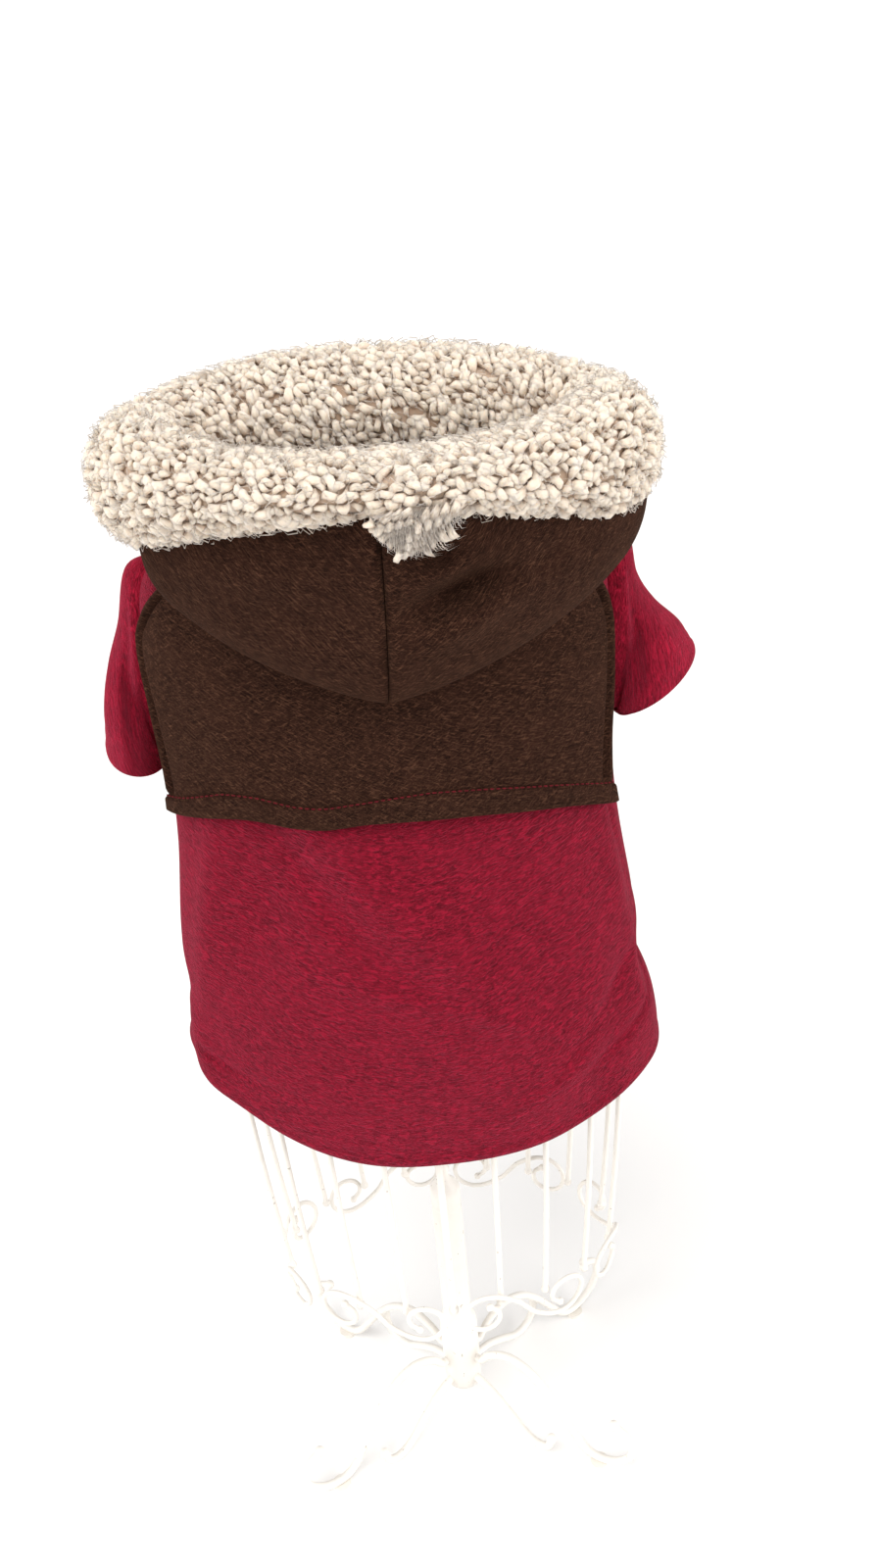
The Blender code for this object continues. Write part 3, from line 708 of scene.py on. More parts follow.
def cloth_shell(name, outer, wall, material, closed=False, rims=(0.0003, 0.0003)):
    """A closed cloth wall under a grid of outer points. rims give how far the ends and the sides swell."""
    rows, columns = outer.shape[:2]
    inner = outer - grid_normals(outer, closed) * wall
    places = grid_places(outer, closed)
    count = rows * columns
    faces = []
    corners = []

    def index(layer, row, column):
        return layer * count + row * columns + column % columns

    for row in range(rows - 1):
        for column in range(columns if closed else columns - 1):
            square = ((row, column), (row + 1, column), (row + 1, column + 1), (row, column + 1))
            for layer in (0, 1):
                faces.append([index(layer, r, c) for r, c in square])
                corners.extend(places[r, c] for r, c in square)
    if closed:
        around = range(columns)
        loops = [[(0, c) for c in around], [(rows - 1, c) for c in around]]
    else:
        loops = [
            [(0, c) for c in range(columns)]
            + [(r, columns - 1) for r in range(1, rows)]
            + [(rows - 1, c) for c in range(columns - 2, -1, -1)]
            + [(r, 0) for r in range(rows - 2, 0, -1)]
        ]
    points = [outer.reshape(-1, 3), inner.reshape(-1, 3)]
    start = 2 * count
    for loop in loops:
        middle = []
        for row, column in loop:
            row_in = min(max(row, 1), rows - 2)
            column_in = column if closed else min(max(column, 1), columns - 2)
            away = unit(outer[row, column] - outer[row_in, column_in])
            swell = rims[1] if column_in != column else rims[0]
            middle.append((outer[row, column] + inner[row, column]) / 2 + away * swell)
        points.append(np.array(middle))
        for step, (row, column) in enumerate(loop):
            after = (step + 1) % len(loop)
            row_after, column_after = loop[after]
            place, place_after = places[row, column], places[row_after, column_after]
            if closed and after == 0:
                place_after = places[row, columns]
            for layer in (0, 1):
                faces.append((
                    index(layer, row, column), index(layer, row_after, column_after),
                    start + after, start + step,
                ))
                corners.extend((place, place_after, place_after, place))
        start += len(loop)
    return new_piece(name, np.concatenate(points), faces, material, corners)


def sheet_area(outer, closed=False):
    """Area of a grid of points."""
    ring = np.concatenate([outer, outer[:, :1]], axis=1) if closed else outer
    down = ring[1:, :-1] - ring[:-1, :-1]
    along = ring[:-1, 1:] - ring[:-1, :-1]
    return float(np.linalg.norm(np.cross(down, along), axis=-1).sum())


def declare_sheet(piece, outer, closed=False):
    """Ride of one sheet of cloth: it is attached to the root. Its area is worked out but not used."""
    area = sheet_area(outer, closed)
    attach(piece, "root")


class Nodes:
    """One node tree. node() adds a node, sets it up first and then feeds its sockets."""

    def __init__(self, tree):
        self.tree = tree

    def node(self, kind, settings=None, values=None):
        made = self.tree.nodes.new(kind)
        for name, value in (settings or {}).items():
            setattr(made, name, value)
        for name, value in (values or {}).items():
            self.feed(made.inputs[name], value)
        return made

    def feed(self, socket, value):
        if isinstance(value, Term):
            value = value.socket
        if isinstance(value, bpy.types.NodeSocket):
            self.tree.links.new(value, socket)
        else:
            socket.default_value = value

    def term(self, kind, settings=None, values=None, output=0):
        return Term(self, self.node(kind, settings, values).outputs[output])

    def noise(self, place, scale, detail=2.0, roughness=0.5, distortion=0.0):
        values = {
            "Vector": place, "Scale": scale, "Detail": detail,
            "Roughness": roughness, "Distortion": distortion,
        }
        return self.term("ShaderNodeTexNoise", {"noise_dimensions": "3D"}, values)

    def stretch(self, place, scale, shift=(0, 0, 0)):
        return self.term("ShaderNodeMapping", {}, {"Vector": place, "Scale": scale, "Location": shift})

    def swing(self, place, degrees):
        rotation = (0, 0, math.radians(degrees))
        return self.term("ShaderNodeMapping", {}, {"Vector": place, "Rotation": rotation})

    def blend(self, share, first, second):
        values = {0: share, 6: first, 7: second}
        return self.term("ShaderNodeMix", {"data_type": "RGBA"}, values, output=2)


class Term:
    """A number in a node tree, so that sums are written as sums."""

    def __init__(self, nodes, socket):
        self.nodes = nodes
        self.socket = socket

    def sum(self, operation, *values):
        made = self.nodes.node("ShaderNodeMath", {"operation": operation})
        for socket, value in zip(made.inputs, values):
            self.nodes.feed(socket, value)
        return Term(self.nodes, made.outputs[0])

    def __add__(self, other):
        return self.sum("ADD", self, other)

    def __radd__(self, other):
        return self.sum("ADD", other, self)

    def __sub__(self, other):
        return self.sum("SUBTRACT", self, other)

    def __rsub__(self, other):
        return self.sum("SUBTRACT", other, self)

    def __mul__(self, other):
        return self.sum("MULTIPLY", self, other)

    def __rmul__(self, other):
        return self.sum("MULTIPLY", other, self)

    def __abs__(self):
        return self.sum("ABSOLUTE", self)

    def between(self, low, high):
        """0 at or under low, 1 at or over high, and smooth between them."""
        values = {"Value": self, "From Min": low, "From Max": high}
        settings = {"interpolation_type": "SMOOTHSTEP", "clamp": True}
        return self.nodes.term("ShaderNodeMapRange", settings, values)


def new_material(name, roughness, uniform=None):
    """A material with its shader, whose uniform values are set on the shader's own sockets."""
    material = bpy.data.materials.new(name)
    material.use_nodes = True
    nodes = Nodes(material.node_tree)
    shader = material.node_tree.nodes["Principled BSDF"]
    shader.inputs["Roughness"].default_value = roughness
    for socket, value in (uniform or {}).items():
        shader.inputs[socket].default_value = value
    return material, nodes, shader


def tint(colour, factor):
    return tuple(min(1.0, part * factor) for part in colour[:3]) + (1.0,)


def bump(nodes, shader, height, distance, strength):
    values = {"Height": height, "Distance": distance, "Strength": strength}
    nodes.feed(shader.inputs["Normal"], nodes.term("ShaderNodeBump", {}, values))


def hairs(nodes, place, scale, width):
    """Thin curly lines, each broken up: the loose hairs of a brushed cloth."""
    lines = 1 - abs(nodes.noise(place, scale, 1.0, 0.5, 2.2) - 0.5).between(0.0, width)
    return lines * nodes.noise(place, scale * 0.7, 1.0).between(0.52, 0.66)


def fleece_material(name, colour):
    """Brushed polar fleece: fine wavy ripples of nap that lie across, hardly mottled, glossy at grazing. Its
    colour follows the ripples' bump: partly the nap's own tone, partly painted shade in the low ripples and a
    painted highlight on their crests.
    """
    uniform = {"Sheen Weight": 0.40, "Sheen Roughness": 0.38, "Sheen Tint": (0.90, 0.15, 0.26, 1)}
    uniform["Specular IOR Level"] = 0.10
    material, nodes, shader = new_material(name, 0.95, uniform)
    place = nodes.term("ShaderNodeUVMap", {"uv_map": "cloth"})
    ripples = nodes.noise(nodes.stretch(place, (210, 620, 1)), 1.0, 2.0, 0.55, 1.3)
    fine = nodes.noise(nodes.stretch(nodes.swing(place, 9), (420, 1150, 1), (3, 5, 0)), 1.0, 2.0, 0.6, 0.8)
    fuzz = nodes.noise(place, 2100, 2.0, 0.6)
    mottle = nodes.noise(place, 26, 2.0)
    loose = hairs(nodes, nodes.stretch(place, (0.8, 1.5, 1)), 120, 0.010) * 0.35
    height = ripples * 0.65 + fine * 0.35 + fuzz * 0.14 + loose * 0.3
    # Partly the nap's own tone and partly painted shade: darker where the ripples' bump is low
    shade = (ripples * 0.60 + fine * 0.40).between(0.34, 0.66)
    # Painted highlight: paler colour on the ripples' crests
    painted_crest_highlight = ripples.between(0.56, 0.66) * 0.45
    body = nodes.blend(shade, tint(colour, 0.42), tint(colour, 1.35))
    body = nodes.blend(painted_crest_highlight, body, tint(colour, 1.8))
    body = nodes.blend(mottle.between(0.35, 0.7) * 0.20, body, tint(colour, 1.18))
    nodes.feed(shader.inputs["Base Color"], nodes.blend(loose, body, tint(colour, 2.2)))
    bump(nodes, shader, height, 0.0024, 1.0)
    return material


def felt_material(name, colour):
    """Felted brown fleece: short strokes of hair that cross, pale ones over a darker ground. The ground is
    darker where the strokes' bump is low: partly the felt's own tone, partly painted shade.
    """
    uniform = {"Sheen Weight": 0.07, "Sheen Roughness": 0.5, "Sheen Tint": (0.60, 0.32, 0.20, 1)}
    uniform["Specular IOR Level"] = 0.05
    material, nodes, shader = new_material(name, 0.97, uniform)
    place = nodes.term("ShaderNodeUVMap", {"uv_map": "cloth"})
    falling = nodes.stretch(nodes.swing(place, 24), (250, 1150, 1))
    falling = nodes.noise(falling, 1.0, 3.0, 0.65, 1.0)
    rising = nodes.stretch(nodes.swing(place, -32), (290, 1250, 1), (4, 2, 0))
    rising = nodes.noise(rising, 1.0, 3.0, 0.65, 1.0)
    fuzz = nodes.noise(place, 1500, 2.0, 0.6)
    mottle = nodes.noise(place, 34, 3.0, 0.6)
    strokes = falling * 0.55 + rising * 0.45
    # Partly the felt's own tone and partly painted shade: darker where the strokes' bump is low
    shade = (strokes * 0.75 + fuzz * 0.25).between(0.36, 0.64)
    body = nodes.blend(shade, tint(colour, 0.22), tint(colour, 1.75))
    body = nodes.blend(mottle.between(0.45, 0.72) * 0.35, body, tint(colour, 1.5))
    pale = falling.between(0.55, 0.66) + rising.between(0.56, 0.67)
    nodes.feed(shader.inputs["Base Color"], nodes.blend(pale * 0.27, body, (0.160, 0.078, 0.044, 1)))
    bump(nodes, shader, strokes * 0.7 + fuzz * 0.3, 0.0012, 0.9)
    return material


def pile_material(name, colour, painted_shade_colour):
    """Curly pile: pale crests, brown painted shade in the depths between the locks, and fine fibres that run
    along each lock, with painted shade between them.
    """
    uniform = {"Sheen Weight": 0.35, "Sheen Roughness": 0.5, "Specular IOR Level": 0.10}
    uniform["Subsurface Weight"] = 0.40
    uniform["Subsurface Scale"] = 0.0030
    uniform["Subsurface Radius"] = (1.0, 0.8, 0.6)
    material, nodes, shader = new_material(name, 0.9, uniform)
    rise = nodes.term("ShaderNodeAttribute", {"attribute_name": "rise"}, output=2)
    along = nodes.term("ShaderNodeUVMap", {"uv_map": "cloth"})
    place = nodes.term("ShaderNodeTexCoord", output=3)
    fibres = nodes.noise(nodes.stretch(along, (26, 2.2, 1)), 1.0, 2.0, 0.6, 1.2)
    wander = nodes.noise(place, 420, 2.0, 0.5, 0.8)
    patch = nodes.noise(place, 36, 2.0)
    # Painted shade: the colour darkens towards each lock's root, where the locks shade each other
    depth = (rise + (wander - 0.5) * 0.45).between(0.00, 0.80)
    body = nodes.blend(depth, painted_shade_colour, colour)
    body = nodes.blend(patch.between(0.5, 0.75) * 0.30, body, tint(colour, 0.86))
    # Painted shade in the grooves between the fibres
    body = nodes.blend(fibres.between(0.62, 0.40) * 0.20, body, tint(painted_shade_colour, 1.20))
    nodes.feed(shader.inputs["Base Color"], body)
    bump(nodes, shader, fibres * 0.7 + wander * 0.5, 0.0009, 0.8)
    return material


def paint_material(name, colour):
    """White paint on wire: satin, with small sags, patches of grime and a few dull chips."""
    material, nodes, shader = new_material(name, 0.42, {"Specular IOR Level": 0.45})
    place = nodes.term("ShaderNodeTexCoord", output=3)
    sags = nodes.noise(place, 260, 2.0, 0.5)
    grime = nodes.noise(place, 60, 3.0, 0.6).between(0.52, 0.78)
    chips = nodes.noise(place, 340, 1.0, 0.4, 0.4).between(0.74, 0.77)
    body = nodes.blend(grime * 0.35, colour, tint(colour, 0.84))
    body = nodes.blend(chips * 0.7, body, (0.42, 0.36, 0.30, 1))
    nodes.feed(shader.inputs["Base Color"], body)
    nodes.feed(shader.inputs["Roughness"], 0.36 + grime * 0.2 + chips * 0.2)
    bump(nodes, shader, sags * 0.6 - chips * 0.4, 0.0004, 0.5)
    return material


def thread_material(name, colour):
    """Twisted sewing thread, darker where its twist's bump is low: partly the plies' own tone, partly painted
    shade.
    """
    material, nodes, shader = new_material(name, 0.75, {"Specular IOR Level": 0.15})
    place = nodes.term("ShaderNodeTexCoord", output=3)
    twist = nodes.noise(nodes.stretch(place, (1500, 1500, 2600)), 1.0, 1.0)
    # Partly the plies' own tone and partly painted shade: darker where the twist's bump is low
    body = nodes.blend(twist.between(0.4, 0.6), tint(colour, 0.7), tint(colour, 1.3))
    nodes.feed(shader.inputs["Base Color"], body)
    bump(nodes, shader, twist, 0.0002, 0.6)
    return material


def floor_material(name, colour):
    """Plain pale floor, hardly mottled."""
    material, nodes, shader = new_material(name, 0.85, {"Specular IOR Level": 0.2})
    place = nodes.term("ShaderNodeTexCoord", output=3)
    cloud = nodes.noise(place, 2.5, 2.0).between(0.3, 0.7)
    nodes.feed(shader.inputs["Base Color"], nodes.blend(cloud, tint(colour, 0.985), tint(colour, 1.01)))
    return material


def made_material(name, make, *values):
    """A material by name, made once."""
    return bpy.data.materials.get(name) or make(name, *values)


def panel_grid(middle_turn, half_turn, hem, columns, lower_rows):
    """Outer points of a body panel, from the neck seam down, cut away round the armholes."""
    armhole = ARMHOLE_Z + ARMHOLE_HALF_HEIGHT * np.cos(np.linspace(0, math.pi, ARMHOLE_ROWS))
    heights = np.concatenate([
        np.linspace(NECK_Z, armhole[0], NECK_ROWS)[:-1],
        armhole,
        np.linspace(armhole[-1], LOWEST_STRAIGHT_ROW, UNDERARM_ROWS)[1:],
    ])
    across = np.linspace(-1, 1, columns + 1)
    down = np.linspace(0, 1, lower_rows + 1)[1:, None]
    upper = heights[:, None] + 0 * across[None]
    lower = mix(LOWEST_STRAIGHT_ROW, hem(across)[None], down)
    z = np.concatenate([upper, lower])
    turn = middle_turn + across[None] * (half_turn - armhole_half_turn(z))
    over_hem = z - hem(across)[None]
    return body_points(turn, z, ridge(over_hem, *HEM_SWELL), creased=1.0)


def yoke_turn(across, z):
    """The turn at a place across the yoke, from its left edge (-1) to its right edge (1)."""
    left, right = smooth_columns(YOKE_EDGE, z)
    return np.radians(across * np.where(across < 0, left, right))


def yoke_lift(turn, z):
    """The gap under the yoke: closed at the neck and wavy along its free hem."""
    down = (YOKE_TOP - z) / (YOKE_TOP - YOKE_HEM)
    wave = YOKE_WAVE * (1 + np.sin(YOKE_WAVES_PER_TURN * turn + YOKE_WAVE_START)) * down ** 3
    return mix(YOKE_LIFT_TOP, YOKE_LIFT_HEM, down * down) + wave


def yoke_hem(across):
    return smooth_columns(YOKE_HEM_LINE, across)[0]


def yoke_band(across):
    """Height of the topstitching over the yoke's hem."""
    hem = yoke_hem(across)
    x = body_points(yoke_turn(across, hem), hem)[..., 0] - POLE_PLACE[0]
    places, heights = np.array(YOKE_BAND).T
    return np.interp(x, places, heights)


def yoke_outside(across, z, wall, stitched=0.0):
    """Outer points of the yoke, with its turned up hem, the stitch line pressed in, and piped sides."""
    turn = yoke_turn(across, z)
    over_hem = z - yoke_hem(across)
    band = yoke_band(across)
    turned_up = YOKE_TURN_UP * YOKE_BAND_RAISE / (1 + np.exp((over_hem - band) / YOKE_STEP_SOFTNESS))
    pressed = ridge(over_hem, band, STITCH_PRESS_WIDTH, -STITCH_PRESS)
    from_side = np.abs(yoke_turn(np.sign(across), z) - turn) * YOKE_TURN_RADIUS
    piping = sum(ridge(from_side, *row) for row in YOKE_PIPING)
    piped = piping * np.clip((over_hem - band) / PIPING_FADE, 0, 1)
    lift = yoke_lift(turn, z) + wall + turned_up + pressed + piped + stitched
    return body_points(turn, z, lift)


def sleeve_rings(side, table, around):
    """Rings of the sleeve, from the armhole out to the cuff. side is 1 at +X and -1 at -X."""
    angle = np.linspace(0, 2 * math.pi, around, endpoint=False)
    turn = SIDE_TURN + ROOT_SHARE * ARMHOLE_HALF_TURN * np.sin(angle)
    z = ARMHOLE_Z + ROOT_SHARE * ARMHOLE_HALF_HEIGHT * np.cos(angle)
    root = body_points(side * turn, z)
    rings = [root]
    underarm_z = np.array(ARMHOLE_Z - UNDERARM_SHARE * ARMHOLE_HALF_HEIGHT)
    underarm = body_points(np.array(side * SIDE_TURN), underarm_z, UNDERARM_LIFT)
    middle_y = 0.5 * (root[around // 4, 1] + root[3 * around // 4, 1])
    for swing_deg, reach, half_depth, drop in table:
        swing = math.radians(swing_deg)
        up = np.array((side * math.sin(swing), 0.0, math.cos(swing)))
        centre = np.array((underarm[0], middle_y, underarm[2] - drop)) + up * (reach / 2)
        across = np.array((0.0, half_depth, 0.0))
        rings.append(centre + np.outer(np.cos(angle), up * reach / 2) + np.outer(np.sin(angle), across))
    return np.array(rings), angle


def sleeve_grid(side, table, rows, around):
    """The sleeve's rings read finely, with creases and a turned cuff."""
    rings, angle = sleeve_rings(side, table, around)
    fine = smooth_path(rings, rows)
    ways = grid_normals(fine, True)
    along = np.linspace(0, 1, rows + 1)[:, None]
    lift = 0.0 * along * angle[None]
    degrees = np.degrees(angle)[None]
    for place, crease_angle, width, width_deg, depth in SLEEVE_CREASES:
        away = (degrees - crease_angle + 180) % 360 - 180
        slope = away / width_deg + SLEEVE_CREASE_LEAN * (along - place) / width
        lift = lift + depth * np.exp(-((along - place) / width) ** 2 - slope ** 2)
    lift = lift * np.clip(along / SLEEVE_FADE_ROOT, 0, 1) * np.clip((1 - along) / SLEEVE_FADE_CUFF, 0, 1)
    lift = lift + sum(ridge(along, *row) for row in CUFF_RIDGES)
    return fine + ways * lift[..., None]


def hood_lift(turn, z, wall):
    over_shoulder = np.maximum(0.0, z - HOOD_EASE_FROM) * HOOD_EASE
    return yoke_lift(turn, z) + wall + HOOD_OVER_YOKE + over_shoulder


def near_line(x, z, line):
    """How near points are to a line between two places, from 0 (far) to 1 (on it), fading at its ends."""
    x_start, z_start, x_end, z_end, width = line
    run = np.array((x_end - x_start, z_end - z_start))
    length = np.linalg.norm(run)
    along = ((x - x_start) * run[0] + (z - z_start) * run[1]) / length ** 2
    off = np.abs((x - x_start) * run[1] - (z - z_start) * run[0]) / length
    beyond = np.maximum(0, np.maximum(-along, along - 1)) * length
    taper = mix(HOOD_CREASE_END, 1, np.sin(math.pi * np.clip(along, 0, 1)))
    return np.exp(-(off ** 2 + beyond ** 2) / width ** 2) * taper


def pile_centres(side, angles):
    """Middles, ways out and sizes of the roll's sections, from its near side (0) to its far side (pi)."""
    near, end, far = (np.array(row) for row in PILE)
    toward = np.where(np.cos(angles)[:, None] > 0, near, far)
    sizes = mix(end, toward, np.cos(angles)[:, None] ** 2)
    half_depth = 0.5 * (PILE_FAR_Y - PILE_NEAR_Y)
    across = side * PILE_HALF_LENGTH * signed_power(np.sin(angles), PILE_SQUARENESS)
    along = -half_depth * signed_power(np.cos(angles), PILE_SQUARENESS)
    x = across + PILE_MIDDLE_X * np.sin(angles) ** 2
    y = 0.5 * (PILE_NEAR_Y + PILE_FAR_Y) + along
    centres = np.stack([x, y, sizes[:, 0] - PILE_TILT * across], axis=-1) + POLE_PLACE
    ways = [side * np.sin(angles) * half_depth, -np.cos(angles) * PILE_HALF_LENGTH, 0 * angles]
    return centres, unit(np.stack(ways, axis=-1)), sizes


def pile_underside(side, points):
    """Height of the roll's underside over points of the hood."""
    centres, _, sizes = pile_centres(side, np.linspace(0, math.pi, PILE_STEPS + 1))
    away = np.linalg.norm(points[..., None, :2] - centres[:, :2], axis=-1)
    nearest = away.argmin(axis=-1)
    share = np.minimum(1.0, away.min(axis=-1) / sizes[nearest, 1])
    return centres[nearest, 2] - sizes[nearest, 2] * np.sqrt(1 - share ** 2)


def height_under_pile(side, inner, rim):
    """Height of the hood's rim that keeps the top, from its inner edge to its rim, just under the roll."""
    share = (np.arange(HOOD_TOP_STEPS) + 1)[:, None] / HOOD_TOP_STEPS
    between = mix(inner[None], rim[None], share[..., None])
    room = pile_underside(side, between) - HOOD_UNDER_PILE - inner[None, :, 2]
    return inner[:, 2] + (room / share).min(axis=0)


def hood_grid(half, felt_wall, columns, inner_rows, outer_rows):
    """One half of the folded hood as one sheet: down the back, round the fold and up its full outer side."""
    side, corner_deg, corner_depth, corner_rise, inner_top = half
    share = np.linspace(0, 1, columns + 1)[None]
    turn = side * math.radians(corner_deg) * share
    low = HOOD_TIP + corner_rise * share ** HOOD_POINTEDNESS
    depth = mix(HOOD_DEPTH_MIDDLE, corner_depth, share)
    inner_top = np.maximum(inner_top, low + HOOD_EDGE)
    down = np.linspace(1, 0, inner_rows)[:, None]
    z = mix(low + HOOD_EDGE_INNER, inner_top, down)
    inner = body_points(turn + 0 * z, z, hood_lift(turn, z, felt_wall))
    base = body_points(turn, low, hood_lift(turn, low, felt_wall))
    out = plain_body_normals(turn, HOOD_FACING_Z + 0 * turn)
    out[..., 2] = 0
    out = unit(out)
    rise = np.linspace(0, 1, outer_rows)[:, None] ** HOOD_RISE_POWER
    full = (1 - (1 - rise) ** HOOD_FULLNESS) ** (1 / HOOD_FULLNESS)
    outward = mix(HOOD_EDGE_OUTER, depth, full)
    outer = base + out * outward[..., None]
    top = height_under_pile(side, inner[0], outer[-1])
    tucked = pile_underside(side, outer[-1]) + HOOD_TUCK
    outer[..., 2] = mix(low, np.clip(tucked, top, top + HOOD_TUCK_MOST)[None], rise)
    seam_x = body_points(np.array(0.0), np.array(HOOD_FACING_Z))[0] + side * SEAM_HALF_GAP
    x = outer[..., 0] - POLE_PLACE[0]
    crease = 0.0 * x
    for x_start, rise_start, x_end, rise_end, width, height in HOOD_CREASES:
        line = (x_start, rise_start * HOOD_SPAN, x_end, rise_end * HOOD_SPAN, width)
        crease = crease + height * near_line(x, rise * HOOD_SPAN, line)
    from_seam = np.abs(outer[..., 0] - seam_x)
    crease = crease + sum(ridge(from_seam, *row) for row in SEAM_RIDGES)
    outer = outer + out * (crease * np.clip(rise / HOOD_CREASE_FADE, 0, 1))[..., None]
    sheet = np.concatenate([inner, outer])
    sheet[:, 0, 0] = seam_x
    bow = mix(SEAM_SHIFT_LOW, SEAM_SHIFT_TOP, rise ** 0.5) * np.exp(-(share / SEAM_SHIFT_REACH) ** 2)
    sheet[inner_rows:, :, 0] += bow
    return sheet


def pile_rings(side, angles, sides, shrink):
    """Rings round the pile roll, from its near side (0) to its far side (pi), smaller by shrink."""
    centres, ways, sizes = pile_centres(side, angles)
    around = np.linspace(0, 2 * math.pi, sides, endpoint=False)
    wide = (sizes[:, 1] - shrink)[:, None, None] * np.cos(around)[None, :, None] * ways[:, None]
    rings = centres[:, None] + wide
    rings[..., 2] += (sizes[:, 2] - shrink)[:, None] * np.sin(around)[None]
    rings[[0, -1], :, 0] = side * SEAM_HALF_GAP + POLE_PLACE[0]
    return rings


def closed_rings(rings):
    """Faces of a closed solid through closed rings, with both ends capped."""
    count, sides = rings.shape[:2]
    faces = []
    for ring in range(count - 1):
        for step in range(sides):
            after = (step + 1) % sides
            faces.append((
                ring * sides + step, ring * sides + after,
                (ring + 1) * sides + after, (ring + 1) * sides + step,
            ))
    faces.append(tuple(range(sides - 1, -1, -1)))
    faces.append(tuple(range((count - 1) * sides, count * sides)))
    return faces


def add_attribute(mesh, name, kind, domain, values):
    layer = mesh.attributes.new(name, kind, domain)
    field = "vector" if kind == "FLOAT_VECTOR" else "value"
    layer.data.foreach_set(field, np.asarray(values).ravel())


def lock_piece(name, material, length, width, height, lift, sides, rings):
    """One lock or fibre of pile: a bent and twisted spindle that starts in the cloth and lies along +X."""
    along = np.linspace(*LOCK_ENDS, rings)
    body = np.sin(math.pi * along) ** LOCK_FULLNESS
    arch, sink = LOCK_ARCH
    centre_x = length * (along - LOCK_ROOT)
    centre_y = LOCK_BEND * length * np.sin(2 * math.pi * along)
    centre_z = lift * (arch * np.sin(math.pi * along ** LOCK_FULLNESS) + sink)
    around = np.linspace(0, 2 * math.pi, sides, endpoint=False)
    twisted = around[None] + LOCK_TWIST * along[:, None]
    strand = 1 + LOCK_STRANDS * np.cos(2 * twisted + 1.0)
    points = np.stack([
        centre_x[:, None] + 0 * twisted,
        centre_y[:, None] + width * body[:, None] * strand * np.cos(around)[None],
        centre_z[:, None] + height * body[:, None] * strand * np.sin(around)[None],
    ], axis=-1)
    faces = closed_rings(points)
    flat = points.reshape(-1, 3)
    corners = []
    for face in faces:
        wraps = {corner % sides for corner in face} == {0, sides - 1}
        for corner in face:
            step = corner % sides
            u = 1.0 if wraps and step == 0 else step / sides
            corners.append((u, along[corner // sides]))
    piece = new_piece(name, flat, faces, material, corners)
    low, high = flat[:, 2].min(), flat[:, 2].max()
    # rise runs from a lock's root (0) to its top (1) and sets how much painted shade it gets
    add_attribute(piece.data, "rise", "FLOAT", "POINT", (flat[:, 2] - low) / (high - low))
    return piece


def new_tree(name, sockets):
    """A Geometry Nodes tree with named inputs, and the nodes for its input and output."""
    tree = bpy.data.node_groups.new(name, "GeometryNodeTree")
    tree.interface.new_socket("Geometry", in_out="INPUT", socket_type="NodeSocketGeometry")
    for socket, kind in sockets:
        tree.interface.new_socket(socket, in_out="INPUT", socket_type="NodeSocket" + kind)
    tree.interface.new_socket("Geometry", in_out="OUTPUT", socket_type="NodeSocketGeometry")
    nodes = Nodes(tree)
    return nodes, nodes.node("NodeGroupInput"), nodes.node("NodeGroupOutput")


def run_tree(piece, tree, values):
    """Runs a tree on a piece and keeps its result as the piece's plain mesh."""
    step = piece.modifiers.new(tree.name, "NODES")
    step.node_group = tree
    for item in tree.interface.items_tree:
        if item.in_out == "INPUT" and item.name in values:
            step[item.identifier] = values[item.name]
    bpy.context.view_layer.update()
    graph = bpy.context.evaluated_depsgraph_get()
    mesh = bpy.data.meshes.new_from_object(piece.evaluated_get(graph))
    piece.modifiers.remove(step)
    piece.data = mesh
    if not mesh.polygons:
        raise RuntimeError("the tree %s left no faces on %s" % (tree.name, piece.name))
    return piece


